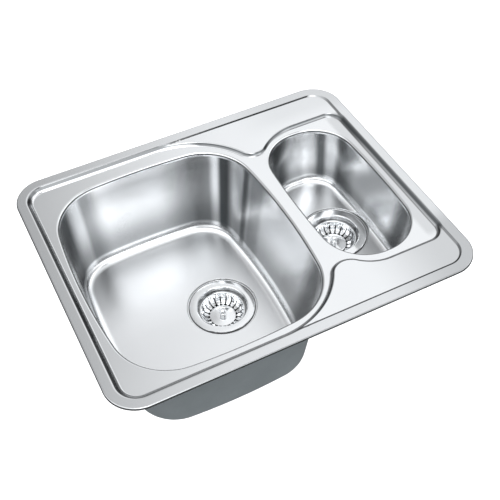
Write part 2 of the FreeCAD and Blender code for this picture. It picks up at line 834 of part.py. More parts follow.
SIDES = {
    "front": (ZERO, -half_width, 0, size.side_rail_length, size.clip_spread_on_side),
    "right": (half_length, ZERO, 90, size.end_rail_length, size.clip_spread_on_end),
    "back": (ZERO, half_width, 180, size.side_rail_length, size.clip_spread_on_side),
    "left": (-half_length, ZERO, -90, size.end_rail_length, size.clip_spread_on_end),
}
rail_top = rim_top - size.sheet_thickness
rail_end = rail_top - size.rail_height
screw_inset = size.rail_inset + size.rail_thickness + (size.rail_foot_width - size.rail_thickness) * HALF
arm_top = rail_end - size.loose_clearance


def clip_rail(side):
    """A folded rail welded under the rim, with a threaded hole for each clip screw."""
    x, y, turn, length, spread = SIDES[side]
    body = new_body(side + "_clip_rail")
    sketch = new_sketch(body, side + "_rail_section", "YZ_Plane")
    web = size.rail_inset
    wall = size.rail_thickness
    polygon(sketch, [
        (web, rail_end),
        (web + size.rail_foot_width, rail_end),
        (web + size.rail_foot_width, rail_end + wall),
        (web + wall, rail_end + wall),
        (web + wall, rail_top - wall),
        (web + size.rail_flange_width, rail_top - wall),
        (web + size.rail_flange_width, rail_top),
        (web, rail_top),
    ])
    feature = pad(body, side + "_rail_pad", sketch, length)
    feature.SideType = "Symmetric"
    doc.recompute()
    holes = new_sketch(body, side + "_rail_holes", lift=rail_end + wall)
    for end in (-1, 1):
        circle(holes, size.clip_screw_radius + size.running_clearance, spread * HALF * end, screw_inset)
    cut_down(body, side + "_rail_drilling", holes)
    place(body, x, y, turn=turn)


def clip_places():
    """Each clip's name, the point of its screw, and the way its arm points when stowed."""
    for side, (x, y, turn, _, spread) in SIDES.items():
        angle = math.radians(turn)
        for word, end in (("first", -1), ("second", 1)):
            along = spread * HALF * end
            cos, sin = round(math.cos(angle)), round(math.sin(angle))
            yield (side + "_" + word + "_clip", x + along * cos - screw_inset * sin,
                   y + along * sin + screw_inset * cos, turn + (0 if end < 0 else 180))


def clip_arm(name, x, y, turn):
    """A joggled clip that swings out under the worktop, with an upturned tooth."""
    body = new_body(name + "_arm")
    sketch = new_sketch(body, name + "_arm_side", "XZ_Plane")
    tail = -size.clip_arm_width * HALF
    plate = size.clip_arm_thickness
    dip = size.clip_arm_joggle
    start = size.clip_screw_head_radius * 2
    reach = size.clip_arm_length
    polygon(sketch, [
        (tail, ZERO),
        (tail, -plate),
        (start - plate * HALF, -plate),
        (start + dip - plate * HALF, -plate - dip),
        (reach, -plate - dip),
        (reach, size.clip_tooth_height - dip),
        (reach - size.clip_tooth_length, size.clip_tooth_height - dip),
        (reach - size.clip_tooth_length, -dip),
        (start + dip, -dip),
        (start, ZERO),
    ])
    feature = pad(body, name + "_arm_pad", sketch, size.clip_arm_width)
    feature.SideType = "Symmetric"
    doc.recompute()
    hole = new_sketch(body, name + "_arm_hole")
    circle(hole, size.clip_screw_radius + size.running_clearance)
    cut_down(body, name + "_arm_drilling", hole)

    def on_tail(edge):
        return near(edge.BoundBox.XMax, tail) and near(edge.BoundBox.ZLength, plate)

    round_edges(body, name + "_arm_tail", size.clip_arm_width * TAIL_ROUND_SHARE, on_tail)
    place(body, x, y, arm_top, turn)


def clip_screws():
    """The pan head screws that carry the clips, threaded into the rails."""
    screws = []
    head_top = arm_top - size.clip_arm_thickness
    for name, x, y, _ in clip_places():
        body = turned(name + "_screw", [
            (ZERO, -size.clip_screw_head_height),
            (size.clip_screw_head_radius - size.clip_screw_slot_depth * HALF, -size.clip_screw_head_height),
            (size.clip_screw_head_radius, -size.clip_screw_head_height * HALF),
            (size.clip_screw_head_radius, ZERO),
            (size.clip_screw_radius, ZERO),
            (size.clip_screw_radius, size.clip_screw_length),
            (ZERO, size.clip_screw_length),
        ])
        slot_floor = size.clip_screw_slot_depth - size.clip_screw_head_height
        slot = new_sketch(body, name + "_screw_slot", lift=slot_floor)
        across = size.clip_screw_head_radius + size.cut_overrun
        side = size.clip_screw_slot_width * HALF
        polygon(slot, [(-across, -side), (across, -side), (across, side), (-across, side)])
        cut_down(body, name + "_screw_slotting", slot)
        place(body, x, y, head_top)
        screws.append(body)
    group = doc.addObject("Part::Compound", "clip_screws")
    group.Links = screws
    group.Label = "clip_screws"
    doc.recompute()


# Basket strainers: depths are measured down from the top of the strainer's flange

cup_thread_radius = size.drain_hole_radius - size.cup_hole_clearance
cup_ledge_radius = size.cup_upper_radius - size.cup_rib_step * (CUP_RIBS - 1) - size.cup_ledge_width
under_bowl = -size.strainer_flange_thickness - size.flange_seal_thickness - size.sheet_thickness
crown_fall = (size.basket_disc_depth - size.basket_crown_depth) * CROWN_SHARE
knob_foot = size.loose_clearance - size.basket_crown_depth
ball_centre = knob_foot + size.knob_ball_height


def strainer_zero(bowl):
    """Where a strainer's flange top lies: its axis and level."""
    x, y, floor = DRAINS[bowl]
    return x, y, floor - size.recess_depth + size.flange_seal_thickness + size.strainer_flange_thickness


def on_strainer(bowl, item):
    """Move an item made about its own origin to a strainer."""
    return place(item, *strainer_zero(bowl))


def disc(bowl, name, inner, outer, top, thickness):
    """A flat ring of a strainer."""
    body = turned(bowl + "_" + name, [
        (inner, top - thickness),
        (outer, top - thickness),
        (outer, top),
        (inner, top),
    ])
    on_strainer(bowl, body)
    return body


def strainer_body(bowl):
    """The flange and the stepped cup, with the hole for the outlet in its floor."""
    wall = size.cup_wall
    mouth = size.strainer_mouth_radius
    roll = mouth - size.cup_upper_radius
    edge = size.strainer_flange_edge
    corners = [
        (size.outlet_bore_radius, -size.cup_seat_depth - wall),
        (size.outlet_thread_radius, -size.cup_seat_depth - wall),
        (size.cup_floor_radius + wall, -size.cup_floor_depth - wall),
        (size.cup_waist_radius + wall, -size.cup_waist_depth - wall * HALF),
        (size.cup_waist_radius + wall * 2, -size.cup_thread_depth),
        (cup_thread_radius, -size.cup_thread_depth),
        (cup_thread_radius, -size.strainer_flange_thickness),
        (size.strainer_flange_radius, -size.strainer_flange_thickness),
        (size.strainer_flange_radius, -edge),
        (size.strainer_flange_radius - edge, ZERO),
        (mouth, ZERO),
        (mouth - roll * ROLL_SHARE, roll * (ROLL_SHARE - 1)),
        (size.cup_upper_radius, -roll),
    ]
    rib_height = (size.cup_ledge_depth - roll) / CUP_RIBS
    for rib in range(CUP_RIBS):
        radius = size.cup_upper_radius - size.cup_rib_step * rib
        depth = roll + rib_height * (rib + 1)
        corners.append((radius, -depth))
        if rib < CUP_RIBS - 1:
            corners.append((radius - size.cup_rib_step, -depth))
    corners += [
        (cup_ledge_radius, -size.cup_ledge_depth),
        (size.cup_waist_radius, -size.cup_waist_depth),
        (size.cup_floor_radius, -size.cup_floor_depth),
        (size.outlet_bore_radius, -size.cup_seat_depth),
    ]
    on_strainer(bowl, turned(bowl + "_strainer_body", corners))


def outlet_tail(bowl):
    """The threaded outlet spun onto the cup's floor, with the bridge across it."""
    seat = -size.cup_seat_depth - size.cup_wall
    tube = turned(bowl + "_outlet_tube", [
        (size.outlet_bore_radius, -size.outlet_end_depth),
        (size.outlet_thread_radius, -size.outlet_end_depth),
        (size.outlet_thread_radius, seat),
        (size.outlet_bore_radius, seat),
    ])
    bar = doc.addObject("Part::Box", bowl + "_outlet_bar")
    reach = (size.outlet_bore_radius + size.outlet_thread_radius) * HALF
    bar.setExpression("Length", (reach * 2).text)
    bar.setExpression("Width", size.bridge_width.text)
    bar.setExpression("Height", size.bridge_thickness.text)
    level = -size.bridge_depth - size.bridge_thickness
    place(bar, -reach, -size.bridge_width * HALF, level)
    over = size.cut_overrun
    hole = plug(bowl + "_outlet_bar_hole", size.bridge_hole_radius, level - over,
                size.bridge_thickness + over * 2)
    bridge = combine("Cut", bowl + "_outlet_bridge", bar, hole)
    on_strainer(bowl, combine("Fuse", bowl + "_outlet_tail", tube, bridge))


def strainer_clamping(bowl):
    """The seal under the flange, and the washers and nut that clamp the bowl from below."""
    loose = cup_thread_radius + size.loose_clearance
    disc(bowl, "flange_seal", size.drain_hole_radius, size.strainer_flange_radius - size.strainer_flange_edge,
         -size.strainer_flange_thickness, size.flange_seal_thickness)
    disc(bowl, "rubber_washer", loose, size.rubber_washer_radius, under_bowl, size.rubber_washer_thickness)
    friction_top = under_bowl - size.rubber_washer_thickness
    disc(bowl, "friction_washer", loose, size.friction_washer_radius, friction_top,
         size.friction_washer_thickness)
    nut_top = friction_top - size.friction_washer_thickness
    nut_end = nut_top - size.lock_nut_height
    nut = turned(bowl + "_lock_nut", [
        (cup_thread_radius + size.running_clearance, nut_end),
        (size.lock_nut_radius, nut_end),
        (size.lock_nut_radius, nut_top - size.lock_nut_flange_height),
        (size.lock_nut_flange_radius, nut_top - size.lock_nut_flange_height),
        (size.lock_nut_flange_radius, nut_top),
        (cup_thread_radius + size.running_clearance, nut_top),
    ])
    sketch = new_sketch(nut, bowl + "_lug_outline", lift=nut_end)
    inner = (cup_thread_radius + size.lock_nut_radius) * HALF
    side = size.lock_nut_lug_width * HALF
    reach = size.lock_nut_lug_reach
    polygon(sketch, [(inner, -side), (reach, -side), (reach, side), (inner, side)])
    lug = pad(nut, bowl + "_lug", sketch, size.lock_nut_height - size.lock_nut_flange_height * HALF)
    repeat_round(nut, bowl + "_lugs", lug, sketch, LOCK_NUT_LUGS)
    on_strainer(bowl, nut)


def basket(bowl):
    """The pressed basket: a rim that rests on the cup's ledge, a slotted wall and a plain
    domed disc in the middle."""
    sheet_metal = size.basket_sheet
    rim = size.basket_rim_radius
    rim_level = size.loose_clearance - size.cup_ledge_depth
    bore = size.rod_radius + size.running_clearance
    disc_edge = size.basket_disc_radius
    body = turned(bowl + "_basket", [
        (bore, -size.basket_crown_depth - sheet_metal),
        (disc_edge * HALF, -size.basket_crown_depth - sheet_metal - crown_fall),
        (disc_edge - sheet_metal * HALF, -size.basket_disc_depth - sheet_metal),
        (disc_edge + sheet_metal * HALF, -size.basket_floor_depth),
        (size.basket_floor_radius, -size.basket_floor_depth),
        (size.basket_knee_radius + sheet_metal * HALF, -size.basket_knee_depth - sheet_metal * HALF),
        (size.basket_bend_radius, -size.basket_bend_depth),
        (size.basket_wall_radius, rim_level),
        (rim, rim_level),
        (rim, rim_level + sheet_metal),
        (size.basket_wall_radius - sheet_metal, rim_level + sheet_metal),
        (size.basket_bend_radius - sheet_metal, -size.basket_bend_depth),
        (size.basket_knee_radius, -size.basket_knee_depth + sheet_metal * HALF),
        (size.basket_floor_radius, -size.basket_floor_depth + sheet_metal),
        (disc_edge + sheet_metal, -size.basket_floor_depth + sheet_metal),
        (disc_edge, -size.basket_disc_depth),
        (disc_edge * HALF, -size.basket_crown_depth - crown_fall),
        (bore, -size.basket_crown_depth),
    ])
    sketch = new_sketch(body, bowl + "_slot_outline", lift=rim_level)
    side = size.basket_slot_width * HALF
    inner = size.basket_slot_inner
    outer = size.basket_slot_outer
    polygon(sketch, [(inner, -side), (outer, -side), (outer, side), (inner, side)])
    slot = cut_down(body, bowl + "_slot", sketch)
    repeat_round(body, bowl + "_slots", slot, sketch, SLOT_COUNT)
    on_strainer(bowl, body)


def knob(bowl):
    """The turned ball knob on its collar, bored from below for the rod."""
    body = turned(bowl + "_knob", [
        (ZERO, knob_foot),
        (size.knob_collar_radius, knob_foot),
        (size.knob_collar_radius, knob_foot + size.knob_collar_height),
        (size.knob_neck_radius, knob_foot + size.knob_collar_height * 2),
        (size.knob_neck_radius, ball_centre),
        (ZERO, ball_centre),
    ])
    ball = body.newObject("PartDesign::AdditiveSphere", bowl + "_knob_ball")
    plane = [item for item in body.Origin.OriginFeatures if item.Role == "XY_Plane"][0]
    ball.AttachmentSupport = [(plane, "")]
    ball.MapMode = "FlatFace"
    ball.setExpression(".AttachmentOffset.Base.z", ball_centre.text)
    ball.setExpression("Radius", size.knob_ball_radius.text)
    doc.recompute()
    sketch = new_sketch(body, bowl + "_knob_bore", lift=ball_centre)
    circle(sketch, size.rod_radius + size.running_clearance)
    cut_down(body, bowl + "_knob_boring", sketch)
    on_strainer(bowl, body)


def rod(bowl):
    """The rod from the knob down to the tip that snaps into the bridge."""
    top = ball_centre - size.loose_clearance
    tip_top = -size.bridge_depth + size.rod_tip_length * TIP_ABOVE_SHARE
    tip_end = tip_top - size.rod_tip_length
    chamfer = size.rod_tip_radius - size.rod_radius
    body = turned(bowl + "_rod", [
        (ZERO, tip_end),
        (size.rod_radius, tip_end),
        (size.rod_tip_radius, tip_end + chamfer),
        (size.rod_tip_radius, tip_top - chamfer),
        (size.rod_radius, tip_top),
        (size.rod_radius, top),
        (ZERO, top),
    ])
    on_strainer(bowl, body)


def stopper(bowl):
    """The rubber stopper under the basket: its lip closes on the cup's floor."""
    gap = size.loose_clearance
    bore = size.rod_radius + size.running_clearance
    fall = (size.cup_seat_depth - size.cup_floor_depth) / (size.cup_floor_radius - size.outlet_bore_radius)
    seat_at_lip = size.cup_floor_depth + (size.cup_floor_radius - size.stopper_radius) * fall
    lip_low = gap - seat_at_lip
    hub_top = -size.basket_crown_depth - size.basket_sheet - crown_fall - gap
    body = turned(bowl + "_stopper", [
        (bore, gap - size.cup_seat_depth),
        (size.outlet_bore_radius, gap - size.cup_seat_depth),
        (size.stopper_radius, lip_low),
        (size.stopper_radius, lip_low + size.stopper_lip_thickness),
        (size.stopper_hub_radius, lip_low + size.stopper_lip_thickness * 2),
        (size.stopper_hub_radius, hub_top),
        (bore, hub_top),
    ])
    on_strainer(bowl, body)


# The whole sink

pressed_top()
rim_seal()
for side in SIDES:
    clip_rail(side)
for name, x, y, turn in clip_places():
    clip_arm(name, x, y, turn)
clip_screws()
for bowl in BOWLS:
    bowl_and_coat(bowl)
    strainer_body(bowl)
    outlet_tail(bowl)
    strainer_clamping(bowl)
    basket(bowl)
    knob(bowl)
    rod(bowl)
    stopper(bowl)


# Checks and export

STRAINER_NODES = ("strainer_body", "outlet_tail", "flange_seal", "rubber_washer", "friction_washer",
                  "lock_nut", "basket", "knob", "rod", "stopper")
NODES = ["pressed_top", "rim_seal", "clip_screws"]
NODES += [side + "_clip_rail" for side in SIDES]
NODES += [name + "_arm" for name, *_ in clip_places()]
NODES += [bowl + suffix for bowl in BOWLS for suffix in ("_bowl", "_bowl_coat")]
NODES += [f"{bowl}_{node}" for bowl in BOWLS for node in STRAINER_NODES]


def wrong_items():
    """Names of items that failed, or nodes with no sound solid."""
    wrong = [item.Name for item in doc.Objects if "Invalid" in item.State or "Error" in item.State]
    for name in NODES:
        shape = doc.getObjectsByLabel(name)[0].Shape
        if shape.isNull() or not shape.isValid() or not shape.Solids:
            wrong.append(name)
    return wrong


doc.recompute()
problems = wrong_items()
if problems:
    raise RuntimeError("these items failed: " + ", ".join(problems))
os.makedirs("parts", exist_ok=True)
for name in NODES:
    shape = doc.getObjectsByLabel(name)[0].Shape
    shape.exportStep(os.path.join("parts", name + ".step"))
    print(name, len(shape.Solids), "solids", round(shape.Volume, 1), "mm3")
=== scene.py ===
# %% [markdown]
# # An inset steel sink in the studio
#
# A kitchen sink like this one starts as flat sheet steel. A press gives the rim its step,
# a second sheet is drawn into each bowl, and the outlets, seals and clips are added by
# hand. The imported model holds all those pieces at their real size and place. This lesson
# loads it and gives every visible surface the form and the finish that a close look needs.

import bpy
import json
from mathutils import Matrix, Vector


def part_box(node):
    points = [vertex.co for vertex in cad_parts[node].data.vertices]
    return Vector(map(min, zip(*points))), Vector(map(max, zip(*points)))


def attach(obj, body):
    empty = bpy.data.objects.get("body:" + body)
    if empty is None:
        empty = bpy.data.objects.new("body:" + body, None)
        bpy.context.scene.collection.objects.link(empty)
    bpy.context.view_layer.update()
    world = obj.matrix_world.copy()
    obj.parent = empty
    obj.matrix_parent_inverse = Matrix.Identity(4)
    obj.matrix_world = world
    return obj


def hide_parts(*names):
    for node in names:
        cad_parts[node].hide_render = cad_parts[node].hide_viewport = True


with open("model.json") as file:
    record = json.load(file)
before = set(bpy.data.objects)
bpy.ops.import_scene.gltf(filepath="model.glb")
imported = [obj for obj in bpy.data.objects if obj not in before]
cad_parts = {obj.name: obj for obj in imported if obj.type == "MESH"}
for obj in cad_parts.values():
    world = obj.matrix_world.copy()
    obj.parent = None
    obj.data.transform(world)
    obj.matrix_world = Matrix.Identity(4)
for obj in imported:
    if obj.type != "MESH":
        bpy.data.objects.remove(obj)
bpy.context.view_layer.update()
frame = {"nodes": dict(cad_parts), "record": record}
nodes = frame["nodes"]

# %% [markdown]
# Blender counts in metres, and a sink is drawn in millimetres. The lesson works in
# millimetres throughout and changes them once, where a mesh is made. The sizes of the
# bowls come from the frame, so the pieces made here land on the ones that they stand for.

# %% Levels and outlines in millimetres
import json
import math
import bmesh
import bpy
import numpy as np
from mathutils import Vector
from mathutils.geometry import delaunay_2d_cdt

MM = 0.001
SKIN = 0.8


def in_metres(values):
    """Millimetres as the metres that Blender counts in."""
    return [value * MM for value in values]


def box_of(node):
    """The lowest and highest corners of a node, in millimetres."""
    low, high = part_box(node)
    return np.array(low) / MM, np.array(high) / MM


top_low, top_high = box_of("pressed_top")
RIM_LENGTH, RIM_WIDTH = (top_high - top_low)[:2]
RIM_TOP, COLLAR_END = top_high[2], top_low[2]
RIM_CORNER = 52.0
RIM_EDGE = 2.6
SURROUND_DROP = 8.0
DECK_DROP = 2.5
SURROUND_LEVEL = RIM_TOP - SURROUND_DROP
DECK_LEVEL = RIM_TOP - DECK_DROP
print("rim", round(RIM_LENGTH, 1), "by", round(RIM_WIDTH, 1), "collar ends at", round(COLLAR_END, 2))

# %% [markdown]
# ## The camera
#
# The photograph looks down into the bowls from the front left. Its corners gave the place,
# the turn and the lens of the camera, and those go straight into Blender. Putting the
# camera in first means that every later choice is seen as the photograph would see it.

# %% Camera
CAMERA_PLACE = (-400.88, -881.99, 1026.06)
CAMERA_TURN = (41.6626, 1.1828, -26.8975)
CAMERA_LENS = 63.07
CAMERA_SENSOR = 36.0

camera_data = bpy.data.cameras.new("studio_camera")
camera_data.lens = CAMERA_LENS
camera_data.sensor_width = CAMERA_SENSOR
camera = bpy.data.objects.new("studio_camera", camera_data)
camera.location = in_metres(CAMERA_PLACE)
camera.rotation_euler = [math.radians(angle) for angle in CAMERA_TURN]
bpy.context.scene.collection.objects.link(camera)
bpy.context.scene.camera = camera
bpy.context.scene.view_settings.view_transform = "Standard"
print("camera at", CAMERA_PLACE, "with a lens of", CAMERA_LENS)

# %% [markdown]
# ## Writing shaders as sums
#
# Wiring nodes by hand hides the idea behind a finish. A small class wraps one output of a
# node, so that a plus or a times between two of them adds the Math node. Everything that
# isn't a sum, such as a noise or a ramp, goes through one method that takes the node's
# type, its settings and what its inputs get.

# %% A signal that adds its own nodes


class Signal:
    """One output of a node, ready for arithmetic."""

    def __init__(self, nodework, socket):
        self.nodework = nodework
        self.socket = socket

    def _maths(self, operation, *values):
        return self.nodework.node("ShaderNodeMath", {"operation": operation}, dict(enumerate(values)))

    def __add__(self, other):
        return self._maths("ADD", self, other)

    def __radd__(self, other):
        return self._maths("ADD", other, self)

    def __sub__(self, other):
        return self._maths("SUBTRACT", self, other)

    def __rsub__(self, other):
        return self._maths("SUBTRACT", other, self)

    def __mul__(self, other):
        return self._maths("MULTIPLY", self, other)

    def __rmul__(self, other):
        return self._maths("MULTIPLY", other, self)

    def other(self, name):
        """Another output of the same node."""
        return Signal(self.nodework, self.socket.node.outputs[name])

    def stretched(self, factors):
        """A vector multiplied along each axis."""
        return self.nodework.node("ShaderNodeVectorMath", {"operation": "MULTIPLY"}, {0: self, 1: factors})

    def ramp(self, low, high, start=0.0, end=1.0):
        """A soft step from start to end while the signal goes from low to high."""
        values = {"Value": self, "From Min": low, "From Max": high, "To Min": start, "To Max": end}
        return self.nodework.node("ShaderNodeMapRange", {"interpolation_type": "SMOOTHSTEP"}, values)


COLOUR_A, COLOUR_B, COLOUR_RESULT = 6, 7, 2


class Nodework:
    """The node tree of one material or of the world."""

    def __init__(self, owner):
        owner.use_nodes = True
        self.tree = owner.node_tree
        self.tree.nodes.clear()

    def node(self, kind, settings=None, inputs=None, output=0):
        """Add a node: settings first, then a number, a colour or a signal for each input."""
        made = self.tree.nodes.new(kind)
        for name, value in (settings or {}).items():
            setattr(made, name, value)
        for name, value in (inputs or {}).items():
            if isinstance(value, Signal):
                self.tree.links.new(value.socket, made.inputs[name])
            else:
                made.inputs[name].default_value = value
        return Signal(self, made.outputs[output]) if len(made.outputs) else None

    def place(self):
        """The point on the surface, in metres from the sink's origin."""
        return self.node("ShaderNodeTexCoord", output="Object")

    def noise(self, scale, detail=2.0, stretch=None, roughness=0.5):
        """Soft random blotches from 0 to 1, stretched along an axis where asked."""
        where = self.place() if stretch is None else self.place().stretched(stretch)
        values = {"Vector": where, "Scale": scale, "Detail": detail, "Roughness": roughness}
        return self.node("ShaderNodeTexNoise", None, values)

    def blend(self, factor, first, second):
        """One colour turning into another as the factor goes from 0 to 1."""
        values = {0: factor, COLOUR_A: first, COLOUR_B: second}
        return self.node("ShaderNodeMix", {"data_type": "RGBA"}, values, COLOUR_RESULT)

    def bump(self, height, distance, under=None):
        """A normal tilted by a height signal, on top of another bump where one is given."""
        values = {"Height": height, "Strength": 1.0, "Distance": distance}
        if under is not None:
            values["Normal"] = under
        return self.node("ShaderNodeBump", None, values)

    def axes(self):
        """How far right the point on the surface lies. Its outputs Y and Z say how far away and up."""
        return self.node("ShaderNodeSeparateXYZ", None, {0: self.place()})

    def upward(self):
        """How far up the surface looks: 1 on a flat, 0 on an upright wall."""
        facing = self.node("ShaderNodeTexCoord", output="Normal")
        return self.node("ShaderNodeSeparateXYZ", None, {0: facing}, output="Z")

    def surface(self, values):
        """The shader of a material, joined to its output."""
        shader = self.node("ShaderNodeBsdfPrincipled", None, values)
        self.node("ShaderNodeOutputMaterial", None, {"Surface": shader})


print("signals are ready")

# %% [markdown]
# ## The studio
#
# Steel has no colour of its own to speak of: it shows the room. The room here is a bright
# tent with a faint cool tint, written as the world's shader, so it lights the sink from
# every side and casts no hard shadow. Soft patches of it are brighter beside and above the
# camera, where they light the walls of the bowls, and others are darker, one of them round
# the camera itself. A dark skirt runs round it near the horizon, as black flags stand round
# a product table, and it draws a dark line along every lip and edge. The photograph's
# backdrop is plain white, and edges that mirrored it would be lost in it, so the camera's
# own rays see white and the steel alone sees the tent.

# %% Studio tent
BACKDROP_LIGHT = 1.04
TENT_TINT = (0.972, 0.985, 1.0)
TENT_LIGHT = 0.68
SKIRT_EDGE = (16.0, 26.0)
SKIRT_LIGHT = 0.13
PATCHES = [
    # azimuth, elevation, inner angle, outer angle, light added
    (29.0, 47.0, 7.0, 24.0, 0.42),
    (0.0, 90.0, 14.0, 36.0, 0.35),
    (353.0, 48.0, 8.0, 24.0, -0.38),
    (160.0, 33.0, 13.0, 31.0, 2.35),
    (154.0, 62.0, 6.0, 21.0, -1.20),
    (116.0, 34.0, 10.0, 26.0, 0.90),
    (240.0, 45.0, 20.0, 42.0, 1.10),
    (203.0, 51.0, 6.0, 16.0, -0.85),
    (188.0, 64.0, 7.0, 20.0, 3.80),
    (292.0, 38.0, 6.0, 24.0, 0.90),
    (80.0, 34.0, 6.0, 24.0, 0.70),
]
world = bpy.data.worlds.new("studio_tent")
bpy.context.scene.world = world
tent = Nodework(world)
direction = tent.node("ShaderNodeTexCoord", output="Generated")


def toward(azimuth, elevation):
    """A direction from the sink: azimuth 0 is away from the user, 90 is to the right."""
    turn, rise = math.radians(azimuth), math.radians(elevation)
    return (math.sin(turn) * math.cos(rise), math.cos(turn) * math.cos(rise), math.sin(rise))


def patch(azimuth, elevation, inner, outer):
    """A soft round patch of the tent: 1 inside the inner angle and 0 past the outer."""
    values = {0: direction, 1: toward(azimuth, elevation)}
    facing = tent.node("ShaderNodeVectorMath", {"operation": "DOT_PRODUCT"}, values, output="Value")
    return facing.ramp(math.cos(math.radians(outer)), math.cos(math.radians(inner)))


glow = TENT_LIGHT
for azimuth, elevation, inner, outer, added in PATCHES:
    glow = patch(azimuth, elevation, inner, outer) * added + glow
height = tent.node("ShaderNodeSeparateXYZ", None, {0: direction}, output="Z")
above_skirt = height.ramp(*[math.sin(math.radians(angle)) for angle in SKIRT_EDGE])
glow = above_skirt * (glow - SKIRT_LIGHT) + SKIRT_LIGHT
seen = tent.node("ShaderNodeLightPath", output="Is Camera Ray")
glow = seen * (BACKDROP_LIGHT - glow) + glow
background = tent.node("ShaderNodeBackground", None, {"Color": (*TENT_TINT, 1.0), "Strength": glow})
tent.node("ShaderNodeOutputWorld", None, {"Surface": background})
print("tent with", len(PATCHES), "patches")

# %% [markdown]
# The floor is a plain pale sheet of paper far below the rim, as if the sink hung in a
# stand. A plane does for it. The camera sees it pale, with a little glow that evens it
# out, and the steel sees it dimmer, so the walls of the bowls mirror less light from below
# than from above.

# %% Floor
FLOOR_DROP = 620.0
FLOOR_REACH = 30000.0
PAPER_TONES = (0.93, 0.97)
PAPER_MIRRORED = 0.16
PAPER_ROUGH = 0.9
PAPER_GLOW = 0.35


def grey(tone):
    """A colour without a tint."""
    return (tone, tone, tone, 1.0)


floor_mesh = bpy.data.meshes.new("studio_floor")
side = FLOOR_REACH * MM
corners = [(-side, -side, 0.0), (side, -side, 0.0), (side, side, 0.0), (-side, side, 0.0)]
floor_mesh.from_pydata(corners, [], [(0, 1, 2, 3)])
floor = bpy.data.objects.new("studio_floor", floor_mesh)
floor.location.z = -FLOOR_DROP * MM
bpy.context.scene.collection.objects.link(floor)

paper = bpy.data.materials.new("pale_paper")
work = Nodework(paper)
fibres = work.noise(40.0, 4.0)
shade = work.blend(fibres, *[grey(tone) for tone in PAPER_TONES])
seen = work.node("ShaderNodeLightPath", output="Is Camera Ray")
work.surface({"Base Color": work.blend(seen, grey(PAPER_MIRRORED), shade), "Roughness": PAPER_ROUGH,
              "Emission Color": work.blend(seen, grey(0.0), grey(1.0)), "Emission Strength": PAPER_GLOW})
floor_mesh.materials.append(paper)
print("floor", FLOOR_DROP, "mm below the worktop")

# %% [markdown]
# ## Finishes
#
# The sheet is a satin linen finish: a mirror that is slightly blurred by very fine grain.
# Grain that short is below what a picture resolves, so roughness does most of the work,
# and a faint uneven bump breaks up what the steel mirrors, as rolled sheet does. The
# strainers are polished, the clips are zinc plated, and the rest is paint, foam, rubber,
# fibre and plastic, each with its own grain.

# %% [markdown]
# The photograph also has dark lines along the steps and lips, and dark and light bands
# down the corners of the bowls. They look like reflections of a room that no tent tried
# here gave in full. So they are painted reflections and painted shade in the steel's own
# colour, placed by the point's place and by the way that the surface faces. Real steel has
# no such stains, but painted shade that is tied to the metal stays on it in every view.

# %% Painted shades of the pressed top
# The dark steel that every painted shade and painted reflection darkens the colour towards.
PAINTED_SHADE_STEEL = (0.045, 0.050, 0.053, 1.0)
RIM_LEVEL = (-2.0, -1.0)
DECK_RISE = (0.4, 1.0)
FLANGE_SHADE = (1.6, 3.3, 0.87)
EDGE_SHADE = (0.72, 0.97, 0.85)
LIP_SHADE = (0.10, 0.30, 0.60, 0.80, 0.70)
STEPS = [
    # levels of the painted dark line, its depth, where it starts across, and where it starts and ends away
    ((-4.4, -3.4, -0.6, 0.6), 0.72, (10.0, 30.0), (50.0, 120.0), ()),
    ((-4.9, -4.0, 1.6, 2.8), 0.50, (255.0, 265.0), (-167.0, -150.0), (155.0, 172.0)),
]
DECKS = [
    # depth of the painted shade at the right end, the run that it comes in over, and the side that the deck
    # is on
    (0.12, (70.0, 200.0), (160.0, 210.0), (0.0, 1.0)),
    (0.28, (120.0, 260.0), (-160.0, -110.0), (1.0, 0.0)),
]


def band(signal, edges, depth):
    """What a darker band leaves of the light: it comes in over two edges and goes over two."""
    first, second, third, fourth = edges
    return 1.0 - signal.ramp(first, second) * signal.ramp(third, fourth, depth, 0.0)


def painted_top_shade(work):
    """Painted shade of the top: a darker flange, dark lines on the edge, lips and two steps, darker deck
    ends.
    """
    across = work.axes()
    away, level = across.other("Y"), across.other("Z")
    upward = work.upward()
    on_rim = level.ramp(*in_metres(RIM_LEVEL))
    left = level.ramp(*in_metres(FLANGE_SHADE[:2]), 1.0, FLANGE_SHADE[2])
    left = left * (1.0 - upward.ramp(*EDGE_SHADE[:2], EDGE_SHADE[2], 0.0) * on_rim)
    left = left * (1.0 - (1.0 - band(upward, LIP_SHADE[:4], LIP_SHADE[4])) * (1.0 - on_rim))
    for levels, depth, across_from, away_from, away_to in STEPS:
        here = across.ramp(*in_metres(across_from)) * away.ramp(*in_metres(away_from))
        if away_to:
            here = here * away.ramp(*in_metres(away_to), 1.0, 0.0)
        left = left * (1.0 - (1.0 - band(level, in_metres(levels), depth)) * here)
    on_deck = level.ramp(*in_metres(DECK_RISE))
    for depth, run, edge, sides in DECKS:
        here = across.ramp(*in_metres(run), 0.0, depth) * away.ramp(*in_metres(edge), *sides)
        left = left * (1.0 - here * on_deck)
    return left


print("shades for the flange, edge, lips,", len(STEPS), "steps and", len(DECKS), "decks")

# %% [markdown]
# Every metal of the sink is the same idea with other numbers: two tones in soft clouds, a
# polish that varies with them, fine grain, and a slow wave in the sheet. One function
# makes them all, and an optional painted shade darkens the colour where it says.

# %% Metals of the sink
FLAT_FROM = 0.80
SHEET_GRAIN, SHEET_WAVE = (2600.0, 0.0000012), (14.0, 0.00004)
POLISHED = ((0.82, 0.83, 0.84), (0.89, 0.90, 0.91), (0.06, 0.11), 30.0,
            (1500.0, 0.0000006), (40.0, 0.00002))


